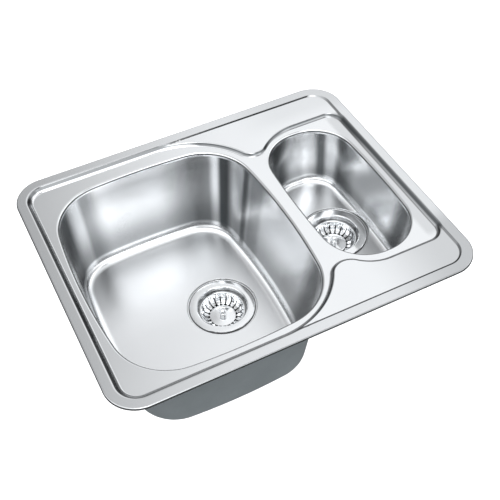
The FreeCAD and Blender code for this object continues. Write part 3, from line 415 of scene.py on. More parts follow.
def metal(name, dark, light, rough, blotch, grain, wave, stretch=None, shade=None, floor_rough=0.0):
    """Steel of two tones. Rough is a range, and grain and wave are each a scale and a height."""
    material = bpy.data.materials.new(name)
    work = Nodework(material)
    cloud = work.noise(blotch, 3.0)
    fine = work.noise(grain[0], 2.0, stretch)
    slow = work.noise(wave[0], 1.0)
    colour = work.blend(cloud, (*dark, 1.0), (*light, 1.0))
    # painted shade and painted reflections darken the colour where the shade says
    if shade:
        colour = work.blend(shade(work), PAINTED_SHADE_STEEL, colour)
    polish = (cloud * 0.6 + fine * 0.4).ramp(0.25, 0.75, *rough)
    if floor_rough:
        polish = work.upward().ramp(FLAT_FROM, 1.0, 0.0, floor_rough) + polish
    normal = work.bump(fine, grain[1], work.bump(slow, wave[1]))
    work.surface({"Base Color": colour, "Metallic": 1.0, "Roughness": polish, "Normal": normal})
    return material


FINISHES = {
    "satin_steel": metal("satin_steel", (0.82, 0.83, 0.84), (0.87, 0.88, 0.89), (0.16, 0.18), 9.0,
                         SHEET_GRAIN, SHEET_WAVE, (1.0, 0.25, 1.0), painted_top_shade),
    "polished_steel": metal("polished_steel", *POLISHED),
    "plated_steel": metal("plated_steel", (0.50, 0.51, 0.50), (0.66, 0.66, 0.62), (0.28, 0.42), 60.0,
                          (900.0, 0.000004), (60.0, 0.00004)),
}
print("metals:", ", ".join(FINISHES))

# %% [markdown]
# Paint, foam, rubber, fibre board and plastic aren't metals, but they too are two tones
# with an uneven gloss and a surface that is pitted or fibrous. A table holds their
# numbers, so that they can be compared line by line.

# %% Other finishes of the sink
SOFT_FINISHES = {
    # slot: name, dark and light tone, range of roughness, size of clouds and grain, relief, stretch
    "sound_coat": ("sound_coat", (0.22, 0.25, 0.26), (0.31, 0.34, 0.355), (0.55, 0.75), 12.0, 900.0,
                   0.00018),
    "seal_foam": ("seal_foam", (0.030,) * 3, (0.075,) * 3, (0.80, 0.95), 40.0, 1400.0, 0.00020),
    "black_rubber": ("black_rubber", (0.014,) * 3, (0.030,) * 3, (0.40, 0.60), 30.0, 700.0, 0.00003),
    "fibre_washer": ("fibre_board", (0.26, 0.17, 0.09), (0.46, 0.34, 0.21), (0.75, 0.90), 60.0, 500.0,
                     0.00008, (1.0, 0.2, 1.0)),
    "nut_plastic": ("nut_plastic", (0.70, 0.70, 0.67), (0.80, 0.80, 0.77), (0.35, 0.50), 25.0, 1100.0,
                    0.00002),
}


def soft_finish(name, dark, light, rough, blotch, grain, relief, stretch=None):
    """A non-metal with two tones, uneven gloss and a pitted or fibrous surface."""
    material = bpy.data.materials.new(name)
    work = Nodework(material)
    cloud = work.noise(blotch, 4.0)
    fine = work.noise(grain, 3.0, stretch, 0.6)
    colour = work.blend((cloud * 0.5 + fine * 0.5).ramp(0.3, 0.7), (*dark, 1.0), (*light, 1.0))
    gloss = fine.ramp(0.3, 0.7, *rough)
    work.surface({"Base Color": colour, "Roughness": gloss, "Normal": work.bump(fine, relief)})
    return material


for slot, looks in SOFT_FINISHES.items():
    FINISHES[slot] = soft_finish(*looks)
print(len(FINISHES), "finishes")

# %% [markdown]
# ## Sheet metal from points
#
# A pressed part is one skin of even thickness. The function below takes the points of its
# visible face, the direction that each one faces, and the faces between them. It lays a
# second skin under the first, closes the open edges, and keeps the given directions for
# shading, so that a reflection runs over the metal without following the mesh.

# %% Make a sheet


def unit(vectors):
    """Vectors brought to length 1."""
    return vectors / np.maximum(np.linalg.norm(vectors, axis=-1, keepdims=True), 1e-12)


def open_edges(faces):
    """The edges that only one face uses, in the direction that it uses them."""
    used = {}
    for face in faces:
        for start, end in zip(face, face[1:] + face[:1]):
            key = (min(start, end), max(start, end))
            used[key] = None if key in used else (start, end)
    return [edge for edge in used.values() if edge]


def make_piece(name, points, faces, finish, body, normals=None):
    """A smooth-shaded piece from millimetre points, riding on a body."""
    mesh = bpy.data.meshes.new(name)
    mesh.from_pydata((np.asarray(points) * MM).tolist(), [], faces)
    mesh.polygons.foreach_set("use_smooth", [True] * len(mesh.polygons))
    mesh.materials.append(FINISHES[finish])
    mesh.update()
    if normals is not None:
        mesh.normals_split_custom_set_from_vertices(np.asarray(normals).tolist())
    piece = bpy.data.objects.new(name, mesh)
    bpy.context.scene.collection.objects.link(piece)
    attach(piece, body)
    print(name, len(mesh.vertices), "points", len(mesh.polygons), "faces")
    return piece


def sheet_piece(name, points, normals, faces, thickness, finish, body):
    """A sheet of even thickness under the given face."""
    count = len(points)
    facing = unit(normals)
    under = points - facing * thickness
    faces = [tuple(face) for face in faces]
    turned = [tuple(index + count for index in reversed(face)) for face in faces]
    edges = open_edges(faces)
    rims = []
    extra, extra_normals = [], []
    for start, end in edges:
        first = 2 * count + len(extra)
        along = points[end] - points[start]
        outward = unit(np.cross(along, facing[start] + facing[end]))
        extra += [points[start], points[end], under[end], under[start]]
        extra_normals += [outward] * 4
        rims.append((first + 1, first, first + 3, first + 2))
    all_points = np.vstack([points, under] + ([np.array(extra)] if extra else []))
    all_normals = np.vstack([facing, -facing] + ([np.array(extra_normals)] if extra else []))
    return make_piece(name, all_points, faces + turned + rims, finish, body, all_normals)


def grid_faces(rows, columns, closed=True, skip=None):
    """Quads of a grid of points whose columns may close into a ring."""
    faces = []
    for row in range(rows - 1):
        for column in range(columns if closed else columns - 1):
            if skip and skip(row, column):
                continue
            after = (column + 1) % columns
            here, there = row * columns, (row + 1) * columns
            faces.append((here + column, here + after, there + after, there + column))
    return faces


def grid_normals(points, closed=True):
    """Directions of a grid of points, from the points beside each one."""
    down = np.gradient(points, axis=0)
    if closed:
        across = np.roll(points, -1, axis=1) - np.roll(points, 1, axis=1)
    else:
        across = np.gradient(points, axis=1)
    return unit(np.cross(across, down))


print("sheet maker is ready")

# %% [markdown]
# ## Outlines
#
# The mouth of a drawn bowl has gently bowed sides, which keep the sheet from rattling, and
# large corners, which let the steel flow. Each outline is eight arcs that meet without a
# kink. Taking the same number of points on each arc means that any two outlines of a bowl
# match point for point, and a wall between them is a plain grid.

# %% Bowed outline
SIDE_POINTS = 26
CORNER_POINTS = 40


def arc_points(centre, radius, start, end, count):
    """Points of an arc, without its last one."""
    angles = np.linspace(start, end, count, endpoint=False)
    return np.column_stack([centre[0] + radius * np.cos(angles), centre[1] + radius * np.sin(angles)])


def barrel(x, y, length, width, side_radius, corner_radius):
    """A bowl's outline, counter-clockwise from the front end of its right side."""
    side = np.array([length / 2 - side_radius, 0.0])
    end = np.array([0.0, width / 2 - side_radius])
    reach = side_radius - corner_radius
    apart = side - end
    middle = (side + end) / 2
    climb = math.sqrt(reach**2 - apart @ apart / 4)
    across = np.array([-apart[1], apart[0]]) / math.hypot(*apart) * climb
    corner = middle + across if (middle + across)[0] > 0 else middle - across
    swing = math.atan2(*(corner - side)[::-1])
    lean = math.atan2(*(corner - end))
    pieces = [
        arc_points(side, side_radius, -swing, swing, SIDE_POINTS),
        arc_points(corner, corner_radius, swing, math.pi / 2 - lean, CORNER_POINTS),
        arc_points(end, side_radius, math.pi / 2 - lean, math.pi / 2 + lean, SIDE_POINTS),
        arc_points(corner * (-1, 1), corner_radius, math.pi / 2 + lean, math.pi - swing, CORNER_POINTS),
        arc_points(side * (-1, 1), side_radius, math.pi - swing, math.pi + swing, SIDE_POINTS),
        arc_points(-corner, corner_radius, math.pi + swing, math.pi * 1.5 - lean, CORNER_POINTS),
        arc_points(end * (1, -1), side_radius, math.pi * 1.5 - lean, math.pi * 1.5 + lean, SIDE_POINTS),
        arc_points(corner * (1, -1), corner_radius, math.pi * 1.5 + lean, math.pi * 2 - swing, CORNER_POINTS),
    ]
    return np.vstack(pieces) + (x, y)


RING = 4 * (SIDE_POINTS + CORNER_POINTS)


def outward(outline):
    """The directions that point straight out of a counter-clockwise outline."""
    along = np.roll(outline, -1, axis=0) - np.roll(outline, 1, axis=0)
    return unit(np.column_stack([along[:, 1], -along[:, 0]]))


# %% [markdown]
# Both bowls are drawn to the same rules and differ in size alone, so one class holds the
# rules and two lines hold the sizes. The mouth and the strainer come from the frame. The
# foot of the wall lies further in, and not by the same amount on every side.

# %% Sizes of the two bowls
RECESS_DEPTH = 3.0
WALL_LEAN = math.radians(7.0)


class Bowl:
    """The sizes that one bowl is drawn to, with its place taken from the frame."""

    def __init__(self, word, side_radius, corner, foot_corner, left, right, end, floor_radius):
        low, high = box_of(word + "_bowl")
        self.word = word
        self.x, self.y = (low + high)[:2] / 2
        self.length, self.width = (high - low)[:2] - 2 * SKIN
        self.side_radius, self.corner, self.foot_corner = side_radius, corner, foot_corner
        self.left, self.right, self.end = left, right, end
        self.floor_radius = floor_radius
        self.drain = (sum(box_of(word + "_flange_seal")) / 2)[:2]
        self.recess_floor = box_of(word + "_flange_seal")[0][2]
        self.floor = self.recess_floor + RECESS_DEPTH
        self.strainer_top = box_of(word + "_strainer_body")[1][2]

    def mouth(self, grow=0.0):
        """The outline of the mouth, moved outward."""
        return barrel(self.x, self.y, self.length + 2 * grow, self.width + 2 * grow,
                      self.side_radius + grow, self.corner + grow)

    def foot(self, grow=0.0):
        """The outline where the wall starts to turn into the floor, moved outward."""
        x = self.x + (self.left - self.right) / 2
        length = self.length - self.left - self.right + 2 * grow
        return barrel(x, self.y, length, self.width - 2 * self.end + 2 * grow,
                      self.side_radius + grow, self.foot_corner + grow)


BOWLS = {
    # radii of the sides, the mouth's and the foot's corners, the foot's insets left, right and
    # at the ends, and the radius of the bend into the floor
    "main": Bowl("main", 1080.0, 93.0, 70.0, 16.1, 25.9, 15.4, 19.0),
    "half": Bowl("half", 1560.0, 73.0, 54.0, 12.3, 10.5, 8.9, 16.0),
}
for bowl in BOWLS.values():
    print(bowl.word, "mouth", bowl.length.round(1), "by", bowl.width.round(1), "floor", bowl.floor.round(1))

# %% [markdown]
# ## The pressed top as a height
#
# Seen from above, the rim, the decks and the surround are one height over each point. The
# height follows from how far the point lies outside two foot lines: the plain one of the
# decks, and the one of the surround, which sweeps in between the bowls in an S. A press
# never leaves a sharp line, so the slopes meet the flats through short soft bends.

# %% Distance to the decks' foot line


def outside_box(points, centre, half, radius):
    """How far points lie outside a rectangle with rounded corners."""
    reach = np.abs(points - centre) - (np.array(half) - radius)
    return np.linalg.norm(np.maximum(reach, 0.0), axis=1) + np.minimum(reach.max(axis=1), 0.0) - radius


DECK_FOOT_INSET = 21.5
DECK_REACH_FROM_RIGHT = 375.15
deck_right = RIM_LENGTH / 2 - DECK_FOOT_INSET
deck_left = RIM_LENGTH / 2 - DECK_REACH_FROM_RIGHT
DECK_CENTRE = ((deck_left + deck_right) / 2, 0.0)
DECK_HALF = ((deck_right - deck_left) / 2, RIM_WIDTH / 2 - DECK_FOOT_INSET)
DECK_CORNER = RIM_CORNER - DECK_FOOT_INSET
print("decks reach", DECK_CENTRE, DECK_HALF)

# %% [markdown]
# The surround's foot line follows the rim on three sides. On its long edges it sweeps in
# towards the half bowl, turns through a hollow valley and swells again into a lobe. Three
# arcs that touch each other make each S, and their meeting points follow from the radii.

# %% Foot line of the surround
FOOT_INSET = 25.5
FOOT_RIGHT_CORNER = 22.5
FLOWS = {
    # side: sweep start, sweep radius, valley radius, lobe start, lobe radius, lobe margin
    1: (350.5, 143.2, 29.7, 111.0, 98.6, 12.1),
    -1: (340.2, 134.3, 33.7, 123.9, 69.4, 16.4),
}


def flow(side):
    """One long edge of the surround: centres of its three bends and where they meet."""
    sweep_from, sweep, valley, lobe_from, lobe, margin = FLOWS[side]
    half = BOWLS["half"]
    reach = RIM_WIDTH / 2 - FOOT_INSET
    lobe_line = half.width / 2 + side * half.y + margin
    sweep_centre = np.array([RIM_LENGTH / 2 - sweep_from, reach - sweep])
    lobe_centre = np.array([RIM_LENGTH / 2 - lobe_from, lobe_line - lobe])
    line = lobe_centre - sweep_centre
    span = math.hypot(*line)
    along = ((sweep + valley) ** 2 - (lobe + valley) ** 2 + span**2) / (2 * span)
    ahead = line / span
    up = np.array([-ahead[1], ahead[0]])
    valley_centre = sweep_centre + ahead * along + up * math.sqrt((sweep + valley) ** 2 - along**2)
    leave = sweep_centre + (valley_centre - sweep_centre) * sweep / (sweep + valley)
    enter = lobe_centre + (valley_centre - lobe_centre) * lobe / (lobe + valley)
    turn = np.array([1.0, side])
    return {"sweep": (sweep_centre * turn, sweep), "valley": (valley_centre * turn, valley),
            "lobe": (lobe_centre * turn, lobe), "leave": leave * turn, "enter": enter * turn,
            "reach": side * reach, "line": side * lobe_line}


def foot_line():
    """The closed chain of the surround's foot: lines as end points, arcs with a centre."""
    back, front = flow(1), flow(-1)
    left, right = FOOT_INSET - RIM_LENGTH / 2, RIM_LENGTH / 2 - FOOT_INSET
    rim_radius = RIM_CORNER - FOOT_INSET
    inner = right - FOOT_RIGHT_CORNER
    turns = {
        "fr": (np.array([inner, front["line"] + FOOT_RIGHT_CORNER]), FOOT_RIGHT_CORNER),
        "br": (np.array([inner, back["line"] - FOOT_RIGHT_CORNER]), FOOT_RIGHT_CORNER),
        "bl": (np.array([left + rim_radius, back["reach"] - rim_radius]), rim_radius),
        "fl": (np.array([left + rim_radius, front["reach"] + rim_radius]), rim_radius),
    }

    def below(turn):
        return turn[0] - (0, turn[1])

    def above(turn):
        return turn[0] + (0, turn[1])

    def right_of(turn):
        return turn[0] + (turn[1], 0)

    def left_of(turn):
        return turn[0] - (turn[1], 0)

    return [
        (None, below(turns["fl"]), below(front["sweep"])),
        (front["sweep"], below(front["sweep"]), front["leave"]),
        (front["valley"], front["leave"], front["enter"]),
        (front["lobe"], front["enter"], below(front["lobe"])),
        (None, below(front["lobe"]), below(turns["fr"])),
        (turns["fr"], below(turns["fr"]), right_of(turns["fr"])),
        (None, right_of(turns["fr"]), right_of(turns["br"])),
        (turns["br"], right_of(turns["br"]), above(turns["br"])),
        (None, above(turns["br"]), above(back["lobe"])),
        (back["lobe"], above(back["lobe"]), back["enter"]),
        (back["valley"], back["enter"], back["leave"]),
        (back["sweep"], back["leave"], above(back["sweep"])),
        (None, above(back["sweep"]), above(turns["bl"])),
        (turns["bl"], above(turns["bl"]), left_of(turns["bl"])),
        (None, left_of(turns["bl"]), left_of(turns["fl"])),
        (turns["fl"], left_of(turns["fl"]), below(turns["fl"])),
    ]


FOOT_LINE = foot_line()
VALLEYS = {id(FOOT_LINE[2]), id(FOOT_LINE[10])}
print("the surround's foot line has", len(FOOT_LINE), "pieces")

# %% Points along the foot line, and the distance to it


def walk(piece, step):
    """Points along one piece of the foot line, without its last one."""
    bend, start, end = piece
    if bend is None:
        count = max(2, round(np.linalg.norm(end - start) / step))
        return start + (end - start) * np.linspace(0.0, 1.0, count, endpoint=False)[:, None]
    centre, radius = bend
    first = math.atan2(*(start - centre)[::-1])
    last = math.atan2(*(end - centre)[::-1])
    hollow = id(piece) in VALLEYS
    sweep = (first - last if hollow else last - first) % (2 * math.pi)
    count = max(3, round(radius * sweep / step))
    return arc_points(centre, radius, first, first - sweep if hollow else first + sweep, count)


def inside_polygon(points, outline):
    """Which points lie inside a closed outline."""
    inside = np.zeros(len(points), dtype=bool)
    for (ax, ay), (bx, by) in zip(outline, np.roll(outline, -1, axis=0)):
        if ay == by:
            continue
        spans = (points[:, 1] < ay) != (points[:, 1] < by)
        crossing = ax + (points[:, 1] - ay) * (bx - ax) / (by - ay)
        inside ^= spans & (points[:, 0] < crossing)
    return inside


def piece_distance(points, piece):
    """Distance from points to one line or arc of the foot line."""
    bend, start, end = piece
    if bend is None:
        along = end - start
        share = np.clip((points - start) @ along / (along @ along), 0.0, 1.0)
        return np.linalg.norm(points - start - share[:, None] * along, axis=1)
    centre, radius = bend
    spoke = points - centre
    first, last = start - centre, end - centre
    if id(piece) in VALLEYS:
        first, last = last, first
    after = first[0] * spoke[:, 1] - first[1] * spoke[:, 0] >= 0
    before = spoke[:, 0] * last[1] - spoke[:, 1] * last[0] >= 0
    on_arc = np.abs(np.linalg.norm(spoke, axis=1) - radius)
    at_ends = np.minimum(np.linalg.norm(points - start, axis=1), np.linalg.norm(points - end, axis=1))
    return np.where(after & before, on_arc, at_ends)


FINE_STEP = 0.5
foot_polygon = np.vstack([walk(piece, FINE_STEP) for piece in FOOT_LINE])


def outside_surround(points):
    """How far points lie outside the surround's foot line, less than zero inside it."""
    distance = np.min([piece_distance(points, piece) for piece in FOOT_LINE], axis=0)
    return np.where(inside_polygon(points, foot_polygon), -distance, distance)


print("foot line is", round(np.linalg.norm(np.diff(foot_polygon, axis=0), axis=1).sum()), "mm round")

# %% [markdown]
# The height is the lower of two landscapes: the surround, which climbs outside its foot
# line, and the decks with their step up to the flange. A plain minimum would leave a
# crease, so each maximum and minimum here is rounded over a short stretch.

# %% Height of the pressed top
SURROUND_SLOPE = 1.0
DECK_STEP_RUN = 3.2
DECK_SLOPE = DECK_DROP / DECK_STEP_RUN
PRESS_BEND = 1.5
DECK_BEND = 0.8


def soft_max(first, second, bend):
    """The larger of two heights, with a soft bend where they meet."""
    near = np.maximum(bend - np.abs(first - second), 0.0)
    return np.maximum(first, second) + near**2 / (4 * bend)


def soft_min(first, second, bend):
    """The smaller of two heights, with a soft bend where they meet."""
    return -soft_max(-first, -second, bend)


def press_height(points):
    """The height of the pressed top's visible face over points of the plane."""
    surround = soft_max(outside_surround(points) * SURROUND_SLOPE, 0.0, PRESS_BEND) + SURROUND_LEVEL
    deck = soft_max(outside_box(points, DECK_CENTRE, DECK_HALF, DECK_CORNER) * DECK_SLOPE, 0.0, DECK_BEND)
    land = soft_min(deck + DECK_LEVEL, RIM_TOP, DECK_BEND)
    return soft_min(land, surround, PRESS_BEND)


PROBE = 0.02


def press_direction(points):
    """The direction that the visible face looks in, from its slope."""
    across = press_height(points + (PROBE, 0.0)) - press_height(points - (PROBE, 0.0))
    away = press_height(points + (0.0, PROBE)) - press_height(points - (0.0, PROBE))
    return unit(np.column_stack([-across, -away, np.full(len(points), 2 * PROBE)]))


print("height in the middle of the divider", round(float(press_height(np.array([[98.0, 0.0]]))[0]), 2))

# %% [markdown]
# ## Laying the mesh of the pressed top
#
# A net of even squares would cut across every bend and show as ripples. Rings of points
# that run along the rim, the foot lines and the mouths put the points where the metal
# turns, a coarse scatter fills the flats, and a Delaunay net joins them. The lips and the
# rim's edge, which stand too steep for a height, are swept as strips from the same rings.

# %% Rings along the rim, the foot lines and the mouths
LIP = 4.5
LIP_STEPS = 9
RIM_STEP = 4.0
CORNER_CROWDING = 1.6
FOOT_STEP = 3.0
FILL_STEP = 9.0


def rim_ring(inset, step=RIM_STEP):
    """The rim's outline moved in by an inset, with points that match at every inset."""
    half = np.array([RIM_LENGTH / 2, RIM_WIDTH / 2]) - RIM_CORNER
    radius = RIM_CORNER - inset
    along = max(2, round(2 * half[0] / step))
    away = max(2, round(2 * half[1] / step))
    bend = max(4, round(RIM_CORNER * math.pi / 2 / step * CORNER_CROWDING))
    quarter = math.pi / 2
    ring = []
    for index, (sx, sy) in enumerate([(1, -1), (1, 1), (-1, 1), (-1, -1)]):
        centre = half * (sx, sy)
        start = quarter * (index - 1)
        ring.append(arc_points(centre, radius, start, start + quarter, bend))
        last = centre + radius * np.array([math.cos(start + quarter), math.sin(start + quarter)])
        run = (away, along)[(index + 1) % 2]
        turn = np.array([math.cos(start + 2 * quarter), math.sin(start + 2 * quarter)])
        reach = 2 * half[0] if abs(turn[0]) > 0.5 else 2 * half[1]
        ring.append(last + turn * reach * np.linspace(0.0, 1.0, run, endpoint=False)[:, None])
    return np.vstack(ring)


def foot_ring(grow):
    """The surround's foot line moved outward."""
    outline = np.vstack([walk(piece, FOOT_STEP) for piece in FOOT_LINE])
    return outline + outward(outline) * grow


outer_ring = rim_ring(RIM_EDGE)
mouth_rings = {word: bowl.mouth(LIP) for word, bowl in BOWLS.items()}
print("rings of", len(outer_ring), "and", RING, "points")

# %% [markdown]
# Two points that lie almost on each other give slivers, and slivers shade badly. So the
# rings along the bends go in first, and a later point is kept only where it lies a gap
# away from all those before it.

# %% Scatter over the flat part
DECK_OFFSETS = (-1.6, -0.8, -0.2, 0.6, 1.6, 2.6, 3.4, 4.0, 4.8)
FOOT_OFFSETS = (-3.0, -1.5, -0.6, 0.2, 1.0, 2.0, 3.2, 4.2, 4.9, 5.5, 6.2, 7.0, 7.6, 8.2, 9.0, 10.5)
FLANGE_INSETS = (5.0, 9.0, 13.0)
LIP_OFFSETS = (1.5, 4.0)
BEND_GAP = 0.55
FILL_GAP = 0.6


def far_enough(points, held, gap):
    """Keep the points that lie at least a gap from those held and from each other."""
    taken = {}
    for x, y in held:
        taken.setdefault((int(x // gap), int(y // gap)), []).append((x, y))
    kept = []
    for x, y in points:
        column, row = int(x // gap), int(y // gap)
        cells = [(column + i, row + j) for i in (-1, 0, 1) for j in (-1, 0, 1)]
        near = [other for cell in cells for other in taken.get(cell, ())]
        if all((x - a) ** 2 + (y - b) ** 2 > gap * gap for a, b in near):
            kept.append((x, y))
            taken.setdefault((column, row), []).append((x, y))
    return kept


fixed = np.vstack([outer_ring] + list(mouth_rings.values()))
bends = [foot_ring(offset) for offset in FOOT_OFFSETS]
deck_corners = [rim_ring(DECK_FOOT_INSET - offset) for offset in DECK_OFFSETS]
bends += [ring[ring[:, 0] > deck_left + DECK_CORNER] for ring in deck_corners]
bends += [rim_ring(inset, 2 * RIM_STEP) for inset in FLANGE_INSETS]
bends += [bowl.mouth(LIP + grow)[::2] for bowl in BOWLS.values() for grow in LIP_OFFSETS]
kept = far_enough(np.vstack(bends), fixed, BEND_GAP)
xs = np.arange(-RIM_LENGTH / 2, RIM_LENGTH / 2, FILL_STEP)
ys = np.arange(-RIM_WIDTH / 2, RIM_WIDTH / 2, FILL_STEP)
fill = far_enough([(x, y) for x in xs for y in ys], np.vstack([fixed, kept]), FILL_STEP * FILL_GAP)
plan = np.vstack([fixed, kept, fill])
within = outside_box(plan, (0.0, 0.0), (RIM_LENGTH / 2, RIM_WIDTH / 2), RIM_CORNER) < -RIM_EDGE + 1e-6
for ring in mouth_rings.values():
    within &= ~inside_polygon(plan, ring)
within[: len(fixed)] = True
plan = plan[within]
print("plan of", len(plan), "points")

# %% Join the points


def ring_edges(start, count):
    """Edges of a closed ring of points."""
    return [(start + index, start + (index + 1) % count) for index in range(count)]


edges = ring_edges(0, len(outer_ring))
ring_start = {}
start = len(outer_ring)
for word, ring in mouth_rings.items():
    ring_start[word] = start
    edges += ring_edges(start, len(ring))
    start += len(ring)
net = delaunay_2d_cdt([Vector(point) for point in plan], edges, [], 0, 1e-5)
net_points = np.array([tuple(point) for point in net[0]])
home = {ids[0]: index for index, ids in enumerate(net[3]) if ids}
triangles = np.array([tuple(face) for face in net[2] if len(face) == 3])
middles = net_points[triangles].mean(axis=1)
open_part = inside_polygon(middles, outer_ring)
for ring in mouth_rings.values():
    open_part &= ~inside_polygon(middles, ring)
triangles = triangles[open_part]
cross = np.cross(net_points[triangles[:, 1]] - net_points[triangles[:, 0]],
                 net_points[triangles[:, 2]] - net_points[triangles[:, 0]])
triangles[cross < 0] = triangles[cross < 0][:, ::-1]
print("net of", len(net_points), "points and", len(triangles), "triangles")

# %% [markdown]
# A lip turns from the flat surround into the upright collar, where a height over the plan
# has no answer. Here a ring of the net is taken round a quarter circle step by step, and
# each new ring is joined to the last by quads. The rim's rolled edge is made the same way.

# %% Sweep the lips and the rim's edge
LIP_DROP = SURROUND_LEVEL - LIP
RIM_STEPS = 6
SEAM_SHARE = 0.5
top_points = [np.column_stack([net_points, press_height(net_points)])]
top_normals = [press_direction(net_points)]
top_faces = [tuple(int(index) for index in face) for face in triangles]


def sweep_ring(previous, points, normals):
    """Add a ring of points and the quads that join it to the ring before it."""
    first = sum(len(block) for block in top_points)
    top_points.append(points)
    top_normals.append(normals)
    count = len(points)
    ring = [first + index for index in range(count)]
    for index in range(count):
        after = (index + 1) % count
        top_faces.append((previous[index], previous[after], ring[after], ring[index]))
    return ring


def seam_lean(bowl):
    """How far the wall under each point of a mouth leans, as a tangent."""
    mouth, foot = bowl.mouth(), bowl.foot()
    fall = COLLAR_END - (bowl.floor + bowl.floor_radius * (1 - math.sin(WALL_LEAN)))
    inward = ((mouth - foot) * outward(mouth)).sum(axis=1)
    return inward / fall


def seam_direction(bowl, share):
    """The direction of the metal at the collar's end: upright at 0, the wall's lean at 1."""
    facing = -outward(bowl.mouth())
    return unit(np.column_stack([facing, seam_lean(bowl) * share]))


for word, bowl in BOWLS.items():
    previous = [home[ring_start[word] + index] for index in range(RING)]
    for step in range(1, LIP_STEPS + 1):
        angle = math.pi / 2 * step / LIP_STEPS
        ring = bowl.mouth(LIP * (1 - math.sin(angle)))
        level = np.full(RING, LIP_DROP + LIP * math.cos(angle))
        facing = -outward(ring) * math.sin(angle)
        previous = sweep_ring(previous, np.column_stack([ring, level]),
                              np.column_stack([facing, np.full(RING, math.cos(angle))]))
    ring = bowl.mouth()
    sweep_ring(previous, np.column_stack([ring, np.full(RING, COLLAR_END)]), seam_direction(bowl, SEAM_SHARE))

previous = [home[index] for index in range(len(outer_ring))][::-1]
for step in range(1, RIM_STEPS + 1):
    angle = math.pi / 2 * step / RIM_STEPS
    ring = rim_ring(RIM_EDGE * (1 - math.sin(angle)))[::-1]
    away = outward(ring[::-1])[::-1] * math.sin(angle)
    level = np.full(len(ring), RIM_TOP - RIM_EDGE * (1 - math.cos(angle)))
    previous = sweep_ring(previous, np.column_stack([ring, level]),
                          np.column_stack([away, np.full(len(ring), math.cos(angle))]))
ring = rim_ring(0.0)[::-1]
sweep_ring(previous, np.column_stack([ring, np.zeros(len(ring))]),
           np.column_stack([outward(ring[::-1])[::-1], np.zeros(len(ring))]))
sink_top = sheet_piece("sink_top", np.vstack(top_points), np.vstack(top_normals), top_faces, SKIN,
                       "satin_steel", "sink")
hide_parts("pressed_top")

# %% [markdown]
# ## Drawing the bowls
#
# A bowl's wall leans out a little so that the punch can leave it, and turns into the floor
# through a wide bend. The strainer's recess is pressed in afterwards and bites into that
# bend in the half bowl. Rings of points run down the wall, round the bend and across the
# floor to the recess, and the floor's height is again a formula of the plan.

# %% Rings of one bowl
WALL_ROWS = 9
BEND_ROWS = 16
MIDDLE_ROWS = 9
RECESS_RADIUS = 60.5
RECESS_SLOPE = RECESS_DEPTH / 0.8
RECESS_BEND = 0.7
RECESS_RADII = (64.5, 63.0, 62.2, 61.7, 61.3, 61.0, 60.7, 60.4, 60.0, 58.5, 54.0)
HOLE_RADIUS = 45.0
LEAST_SQUARE = 0.35
BEND_ROOM = 0.8


def inside_distance(points, outline):
    """How far points lie inside a closed outline, from its nearest edge."""
    shape = points.shape[:-1]
    flat = points.reshape(-1, 2)
    best = np.full(len(flat), np.inf)
    for start, end in zip(outline, np.roll(outline, -1, axis=0)):
        along = end - start
        share = np.clip((flat - start) @ along / (along @ along), 0.0, 1.0)
        gap = flat - start - share[:, None] * along
        best = np.minimum(best, (gap * gap).sum(axis=1))
    return np.sqrt(best).reshape(shape)


def floor_height(bowl, points, foot, grow):
    """The height of the bend, the floor and the recess over points of the plan."""
    radius = bowl.floor_radius + grow
    depth = inside_distance(points, foot)
    across = np.clip(math.cos(WALL_LEAN) - depth / radius, 0.0, math.cos(WALL_LEAN))
    bend = bowl.floor - grow + radius * (1 - np.sqrt(1 - across**2))
    from_axis = np.linalg.norm(points - bowl.drain, axis=-1)
    climb = soft_max((from_axis - RECESS_RADIUS) * RECESS_SLOPE, 0.0, RECESS_BEND)
    return soft_min(bend, bowl.recess_floor - grow + climb, RECESS_BEND)


def bowl_rings(bowl, grow=0.0, top=COLLAR_END, last_radius=HOLE_RADIUS):
    """Rings of points from the top of the wall to the drain hole."""
    mouth, foot = bowl.mouth(grow), bowl.foot(grow)
    turn = bowl.floor - grow + (bowl.floor_radius + grow) * (1 - math.sin(WALL_LEAN))
    rings = []
    first = (COLLAR_END - top) / (COLLAR_END - turn)
    for share in np.linspace(first, 1.0, WALL_ROWS, endpoint=False):
        plan = mouth + (foot - mouth) * share
        rings.append(np.column_stack([plan, np.full(RING, COLLAR_END + (turn - COLLAR_END) * share)]))
    spoke = unit(foot - bowl.drain)
    reach = np.linalg.norm(foot - bowl.drain, axis=1)
    inner = [radius for radius in RECESS_RADII if radius > last_radius] + [last_radius]
    leans = WALL_LEAN + (math.pi / 2 - WALL_LEAN) * np.linspace(0.0, 1.0, BEND_ROWS)
    bend_run = (bowl.floor_radius + grow) * (math.cos(WALL_LEAN) - np.cos(leans))
    squareness = np.maximum((spoke * outward(foot)).sum(axis=1), LEAST_SQUARE)
    run = bend_run[:, None] / squareness
    room = reach - inner[0]
    run = run * np.minimum(1.0, BEND_ROOM * room / run[-1])
    rows = [reach - row for row in run]
    for share in np.linspace(0.0, 1.0, MIDDLE_ROWS + 1)[1:-1]:
        rows.append(rows[BEND_ROWS - 1] * (1 - share) + inner[0] * share)
    rows += [np.full(RING, radius) for radius in inner]
    for row in rows:
        plan = bowl.drain + spoke * row[:, None]
        rings.append(np.column_stack([plan, floor_height(bowl, plan, foot, grow)]))
    return np.array(rings)


print("a wall of", WALL_ROWS, "rows, a bend of", BEND_ROWS, "and a floor of", MIDDLE_ROWS)
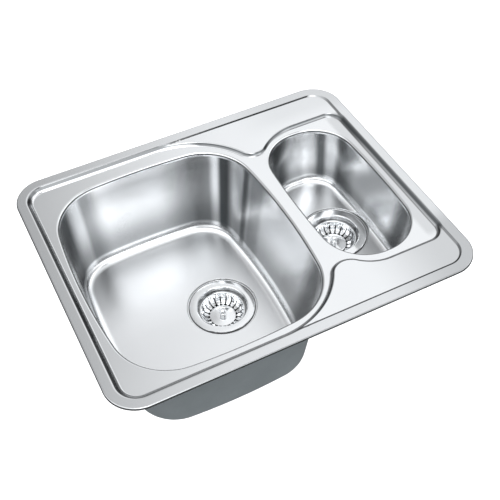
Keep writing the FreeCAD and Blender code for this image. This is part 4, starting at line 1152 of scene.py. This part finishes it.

# %% [markdown]
# A drawn wall is smoother than flat sheet and mirrors in bands. Here those bands are
# painted reflections: dark bands painted into the steel's colour, narrow down the corners
# and level along the foot, with a painted dark line in the bend and painted shade over the
# floor, growing towards the back. Each band is a soft window, over the angle round the
# bowl, over the height, or over the way that the metal faces. The bands on the two sides
# nearest the camera are out of its sight and are guessed from the others.

# %% Drawn steel of each bowl, with painted reflections and shade
PAINTED_CORNER_BANDS = {
    # where each painted reflection band comes in and goes, in degrees round the bowl, and its depth
    "main": [
        (43.0, 48.0, 50.5, 53.0, 0.94), (53.5, 57.0, 64.0, 84.0, 0.68), (32.0, 35.5, 36.5, 39.0, 0.75),
        (18.0, 24.0, 30.0, 34.0, 0.35), (109.0, 118.0, 119.5, 122.5, 0.62),
        (124.0, 132.0, 135.5, 150.0, 0.93), (-47.0, -41.0, -37.0, -24.0, 0.85),
        (-150.0, -136.0, -132.0, -124.0, 0.85),
        (-122.0, -119.0, -117.0, -108.0, 0.50), (-84.0, -64.0, -57.0, -53.0, 0.50),
    ],
    "half": [
        (33.0, 54.0, 56.0, 62.0, 0.76), (65.0, 69.5, 71.5, 77.5, 0.88), (86.0, 104.0, 109.0, 120.0, 0.92),
        (-62.0, -53.0, -50.5, -36.0, 0.86), (-78.0, -72.0, -70.0, -65.0, 0.75),
        (-120.0, -109.0, -104.0, -88.0, 0.85),
    ],
}
# where the painted bands lie on the wall, and the painted shade of the floor, the bend and the foot
BAND_END = (3.0, 16.0)
FLOOR_FACING = (0.90, 1.0)
FLOOR_SHADE = {"main": (0.0, 110.0, 0.26), "half": (-160.0, -60.0, 0.40)}
PAINTED_BEND_LINE = (0.60, 0.69, 0.73, 0.82, 0.60)
PAINTED_FOOT_BAND = {"main": (-62.0, -148.0, -152.0, -159.0, 0.70), "half": (-70.0, -99.0, -102.0, -107.0, 0.50)}


def painted_bowl_shade(word):
    """Painted reflections and shade of one bowl: corner bands, a foot band, a bend line, a darker floor."""
    bowl = BOWLS[word]

    def shade(work):
        middle = bowl.mouth().mean(axis=0) * MM
        place = work.axes()
        across, away = place - float(middle[0]), place.other("Y") - float(middle[1])
        round_bowl = work.node("ShaderNodeMath", {"operation": "ARCTAN2"}, {0: away, 1: across})
        left = 1.0
        for *edges, depth in PAINTED_CORNER_BANDS[word]:
            left = band(round_bowl, [math.radians(edge) for edge in edges], depth) * left
        level = place.other("Z")
        on_wall = level.ramp(*in_metres(bowl.floor + end for end in BAND_END))
        left = 1.0 - (1.0 - left) * on_wall
        upward = work.upward()
        *edges, depth = PAINTED_FOOT_BAND[word]
        *turns, line_depth = PAINTED_BEND_LINE
        on_bend = band(level, in_metres(edges), depth) * band(upward, turns, line_depth)
        near, far, floor_depth = FLOOR_SHADE[word]
        back = place.other("Y").ramp(*in_metres((near, far)), 0.0, floor_depth)
        return on_bend * left * (1.0 - upward.ramp(*FLOOR_FACING) * back)

    return shade


for word in BOWLS:
    FINISHES[word + "_drawn"] = metal(
        "drawn_steel_" + word, (0.90, 0.91, 0.92), (0.94, 0.95, 0.96), (0.25, 0.28), 9.0,
        SHEET_GRAIN, SHEET_WAVE, (1.0, 1.0, 0.1), painted_bowl_shade(word), 0.06)
print("bands for", ", ".join(PAINTED_CORNER_BANDS))

# %% Draw the bowls


def bowl_piece(word):
    """A drawn bowl with the recess for its strainer."""
    bowl = BOWLS[word]
    rings = bowl_rings(bowl)
    normals = grid_normals(rings)
    normals[0] = seam_direction(bowl, SEAM_SHARE)
    normals[1] = unit(normals[1] + seam_direction(bowl, 1.0))
    piece = sheet_piece(word + "_bowl_shell", rings.reshape(-1, 3), normals.reshape(-1, 3),
                        grid_faces(len(rings), RING), SKIN, word + "_drawn", "sink")
    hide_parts(word + "_bowl")
    return normals


for word in BOWLS:
    directions = bowl_piece(word)
    print(word, "floor faces up by", round(float(directions[-8, 0, 2]), 3))

# %% [markdown]
# The outside of a bowl is sprayed with a thick grey coat that deadens the drumming of
# water. It stops short of the collar and of the strainer, and it is smooth from a
# distance, so it is the same set of rings grown outward, with its own thickness.

# %% Spray the coats
COAT = 1.6
COAT_TOP = -20.0
COAT_WINDOW = 70.0
COAT_LIFT = 0.05


def coat_piece(word):
    """The coat on the outside of a bowl."""
    bowl = BOWLS[word]
    rings = bowl_rings(bowl, SKIN + COAT, COAT_TOP, COAT_WINDOW)
    normals = -grid_normals(rings)
    faces = [face[::-1] for face in grid_faces(len(rings), RING)]
    piece = sheet_piece(word + "_bowl_spray", rings.reshape(-1, 3), normals.reshape(-1, 3), faces,
                        COAT - COAT_LIFT, "sound_coat", "sink")
    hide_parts(word + "_bowl_coat")


for word in BOWLS:
    coat_piece(word)

# %% [markdown]
# ## Turned pieces
#
# The strainer's cup, the knob and the nut are made on a lathe or pressed round, so each
# is one profile spun about the drain's axis. A real edge is never quite sharp, and on
# polished steel it is that small round that catches the light, so the profile's corners
# are softened before it is spun.

# %% Spin a profile
SPIN_POINTS = 144
SOFT_STEPS = 4
NEARLY_STRAIGHT = math.radians(176.0)
TRIM_SHARE = 0.4
SHARP_EDGE = math.radians(38.0)


def soften(profile, radius):
    """Round the corners of a closed profile of radius and height pairs."""
    corners = np.array(profile, dtype=float)
    softened = []
    count = len(corners)
    for index in range(count):
        here = corners[index]
        back, ahead = corners[index - 1] - here, corners[(index + 1) % count] - here
        lengths = np.linalg.norm(back), np.linalg.norm(ahead)
        if here[0] < 1e-6 or min(lengths) < 1e-6:
            softened.append(here)
            continue
        back, ahead = back / lengths[0], ahead / lengths[1]
        opening = math.acos(float(np.clip(back @ ahead, -1.0, 1.0)))
        if opening > NEARLY_STRAIGHT:
            softened.append(here)
            continue
        trim = min(radius / math.tan(opening / 2), TRIM_SHARE * min(lengths))
        for share in np.linspace(0.0, 1.0, SOFT_STEPS):
            first, last = here + back * trim, here + ahead * trim
            softened.append(first * (1 - share) ** 2 + here * 2 * share * (1 - share) + last * share**2)
    return np.array(softened)


def spin(name, profile, centre, finish, body, radius=0.2):
    """A solid turned about an upright axis through a centre, from a closed profile."""
    outline = soften(profile, radius)
    angles = np.linspace(0.0, 2 * math.pi, SPIN_POINTS, endpoint=False)
    rows = []
    for distance, height in outline:
        rows.append(np.column_stack([
            centre[0] + distance * np.cos(angles),
            centre[1] + distance * np.sin(angles),
            np.full(SPIN_POINTS, centre[2] + height),
        ]))
    points = np.array(rows)
    faces = grid_faces(len(points), SPIN_POINTS)
    last = (len(points) - 1) * SPIN_POINTS
    for column in range(SPIN_POINTS):
        after = (column + 1) % SPIN_POINTS
        faces.append((last + column, column, after, last + after))
    piece = make_piece(name, points.reshape(-1, 3), faces, finish, body)
    return tidy(piece)


def tidy(piece):
    """Merge doubled points, drop faces with no area and shade sharp edges as sharp."""
    work = bmesh.new()
    work.from_mesh(piece.data)
    bmesh.ops.remove_doubles(work, verts=work.verts, dist=1e-6)
    bmesh.ops.dissolve_degenerate(work, edges=work.edges, dist=1e-7)
    bmesh.ops.recalc_face_normals(work, faces=work.faces)
    for edge in work.edges:
        edge.smooth = edge.calc_face_angle(0.0) < SHARP_EDGE
    work.to_mesh(piece.data)
    work.free()
    return piece


print("a lathe with", SPIN_POINTS, "points to a turn")

# %% [markdown]
# Under each strainer's flange lies a soft ring. The nut below squeezes it, so a thin dark
# bead of it shows round the flange. It is made anew here and reaches past the flange, so
# that the dark bead also stands in for the shade in the groove round the flange.

# %% Press a ring under each flange
# the ring reaches past the flange, so its dark edge stands in for the groove's shade
RING_REACH = 58.6
RING_PROFILE = [(45.0, -2.2), (RING_REACH, -2.2), (RING_REACH, -1.3), (57.4, -1.3), (57.2, -1.62),
                (45.0, -1.62)]
for word, bowl in BOWLS.items():
    place = (*bowl.drain, bowl.strainer_top)
    ring = spin(word + "_seal_ring", RING_PROFILE, place, "seal_foam", "sink", 0.25)
    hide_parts(word + "_flange_seal")

# %% [markdown]
# The strainer's body is pressed from one disc: a flat flange, a rolled mouth, a cup whose
# wall is stepped into small ribs, and a ledge that the basket sits on. Little light finds
# its way down there, and a tent that shines from all round lights it too much, so shade is
# painted into the cup's steel: its wall darker, and darker still below the basket's seat.

# %% Profile of the strainer's cup
MOUTH_RADIUS = 45.0
CUP_RADIUS = 43.2
CUP_LEDGE = 10.4
CUP_TAPER = 1.65
RIB_COUNT = 8
RIB_FLAT = 0.75
# painted shade below the basket's seat and on the cup's wall: levels from the top, and what is left
WELL_SHADE = (-13.5, -10.5, 0.12)
WALL_SHADE = (-3.2, -1.6, 0.45)


def cup_profile():
    """The flange and stepped cup, from its floor's underside round to the floor."""
    roll = MOUTH_RADIUS - CUP_RADIUS
    profile = [(20.6, -43.5), (23.9, -43.5), (31.0, -42.0), (37.6, -32.5), (38.6, -20.0), (44.3, -20.0),
               (44.3, -1.6), (56.9, -1.6), (57.0, -0.8), (56.3, 0.0)]
    profile.append((MOUTH_RADIUS, 0.0))
    for angle in (30.0, 60.0, 90.0):
        turn = math.radians(angle)
        profile.append((MOUTH_RADIUS - roll * math.sin(turn), roll * (math.cos(turn) - 1)))
    rise = (CUP_LEDGE - roll) / RIB_COUNT
    fall = CUP_TAPER / RIB_COUNT
    for rib in range(RIB_COUNT):
        radius = CUP_RADIUS - fall * rib
        profile.append((radius, -roll - rise * (rib + RIB_FLAT)))
        profile.append((radius - fall, -roll - rise * (rib + 1.0)))
    profile += [(39.75, -CUP_LEDGE), (36.6, -32.0), (30.0, -41.0), (20.6, -42.5)]
    return profile


def painted_well_shade(word):
    """Painted shade: the cup's wall is painted dimmer than its flange, and dark below the basket's seat."""
    top = BOWLS[word].strainer_top

    def shade(work):
        level = work.axes().other("Z")
        left = 1.0
        for low, high, dim in (WELL_SHADE, WALL_SHADE):
            left = level.ramp(*in_metres((top + low, top + high)), dim, 1.0) * left
        return left

    return shade


for word, bowl in BOWLS.items():
    place = (*bowl.drain, bowl.strainer_top)
    FINISHES[word + "_cup"] = metal("cup_steel_" + word, *POLISHED, shade=painted_well_shade(word))
    cup = spin(word + "_strainer_cup", cup_profile(), place, word + "_cup", "sink", 0.15)
    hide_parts(word + "_strainer_body")

# %% [markdown]
# ## The baskets
#
# A basket is pressed from thin sheet, and its slots are sheared through the slope. Each
# slot is narrow along the wall and widens to a dark notch at the disc. A polar grid gives
# every slot its own two edges, so the openings are real and the tongues between them have
# thickness.

# %% Profile of a basket and its slots
SLOTS = 20
TONGUE_COLUMNS = 8
BASKET_SHEET = 0.7
SLOT_INNER = 22.9
SLOT_NOTCH = 25.8
SLOT_OUTER = 35.2
SLOT_HALF = 1.15
NOTCH_HALF = 2.85
NOTCH_STEP = 0.6
WIDEST_SLOT = 0.125
SLACK = 0.05
BASKET_SOFTENING = 1.4
BASKET_STEP = 1.0
BASKET_CLOSING = -50.0
BASKET_LOWEST = -40.0
BASKET_PROFILE = [(40.2, -9.4), (37.75, -9.4), (34.35, -18.5), (31.0, -24.25), (24.6, -26.9),
                  (22.6, -26.9), (21.8, -26.6), (10.9, -25.76), (2.65, -25.4)]


def basket_rows():
    """Radius and height of each ring of the basket's upper face, outermost first."""
    ends = [(BASKET_PROFILE[end][0], BASKET_CLOSING) for end in (-1, 0)]
    outline = soften(BASKET_PROFILE[::-1] + ends, BASKET_SOFTENING)
    face = [row for row in outline[::-1] if row[1] > BASKET_LOWEST]
    rows = []
    for here, there in zip(face, face[1:]):
        pieces = max(1, int(np.linalg.norm(there - here) / BASKET_STEP))
        rows += [here + (there - here) * share for share in np.linspace(0.0, 1.0, pieces, endpoint=False)]
    rows.append(face[-1])
    for cut in (SLOT_OUTER, SLOT_NOTCH, SLOT_NOTCH - NOTCH_STEP, SLOT_INNER):
        nearest = min(range(len(rows)), key=lambda index: abs(rows[index][0] - cut))
        rows[nearest] = np.array([cut, rows[nearest][1]])
    return np.array(rows)


def slot_half(radius):
    """Half the width of a slot: narrow outside, wider in the notch."""
    return SLOT_HALF if radius > SLOT_NOTCH - NOTCH_STEP / 2 else NOTCH_HALF


def basket_piece(word):
    """A pressed basket with its slots cut through."""
    bowl = BOWLS[word]
    rows = basket_rows()
    columns = SLOTS * (TONGUE_COLUMNS + 2)
    points = []
    for radius, height in rows:
        ring = []
        half = slot_half(radius) if SLOT_INNER - 2 * SLACK <= radius else SLOT_HALF
        gap = math.asin(min(half / radius, WIDEST_SLOT))
        pitch = 2 * math.pi / SLOTS
        for slot in range(SLOTS):
            middle = slot * pitch
            ring.append(middle)
            ring += list(np.linspace(middle + gap, middle + pitch - gap, TONGUE_COLUMNS + 1))
        ring = np.array(ring)
        points.append(np.column_stack([
            bowl.drain[0] + radius * np.cos(ring),
            bowl.drain[1] + radius * np.sin(ring),
            np.full(len(ring), bowl.strainer_top + height),
        ]))
    points = np.array(points)

    def open_here(row, column):
        outer, inner = rows[row][0], rows[row + 1][0]
        within = inner >= SLOT_INNER - SLACK and outer <= SLOT_OUTER + SLACK
        return within and column % (TONGUE_COLUMNS + 2) in (0, TONGUE_COLUMNS + 1)

    slope = np.gradient(rows, axis=0)
    tilt = unit(np.column_stack([-slope[:, 1], slope[:, 0]]))
    tilt *= np.where(tilt[:, 1:] < 0, -1.0, 1.0)
    spokes = unit(points[:, :, :2] - bowl.drain)
    normals = np.concatenate([spokes * tilt[:, None, :1], np.repeat(tilt[:, None, 1:], columns, 1)], axis=2)
    faces = grid_faces(len(rows), columns, skip=open_here)
    piece = sheet_piece(word + "_slotted_basket", points.reshape(-1, 3), normals.reshape(-1, 3), faces,
                        BASKET_SHEET, "polished_steel", word + "_basket_turn")
    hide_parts(word + "_basket")


for word in BOWLS:
    basket_piece(word)

# %% [markdown]
# ## Knobs
#
# The basket is lifted by a small ball on a waisted stem. A ball that flows into its neck
# is a single turned profile.

# %% Turn the knobs
BALL = 6.4
BALL_POINTS = 24
BALL_RISE = 9.6
NECK = 3.4
KNOB_FOOT = -25.1


def knob_profile():
    """A closed profile of the collar, the neck and the ball."""
    profile = [(0.0, KNOB_FOOT), (5.2, KNOB_FOOT), (5.2, KNOB_FOOT + 1.2), (3.9, KNOB_FOOT + 2.4)]
    for turn in np.linspace(math.asin(NECK / BALL), math.pi, BALL_POINTS):
        profile.append((abs(BALL * math.sin(turn)), KNOB_FOOT + BALL_RISE - BALL * math.cos(turn)))
    return profile


for word, bowl in BOWLS.items():
    place = (*bowl.drain, bowl.strainer_top)
    knob = spin(word + "_ball_knob", knob_profile(), place, "polished_steel", word + "_plug", 0.3)
    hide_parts(word + "_knob")

# %% [markdown]
# ## Finishes on the pieces that stay
#
# Rails, clips, screws, washers and rods have the right shape already, so each keeps its
# mesh and takes the finish that the record names for it.

# %% Finish the remaining nodes
slot_of = {part["node"]: part["material_slot"] for part in frame["record"]["subparts"]}
for node, item in nodes.items():
    item.data.materials.clear()
    item.data.materials.append(FINISHES[slot_of[node]])
print("finished", len(slot_of), "nodes")
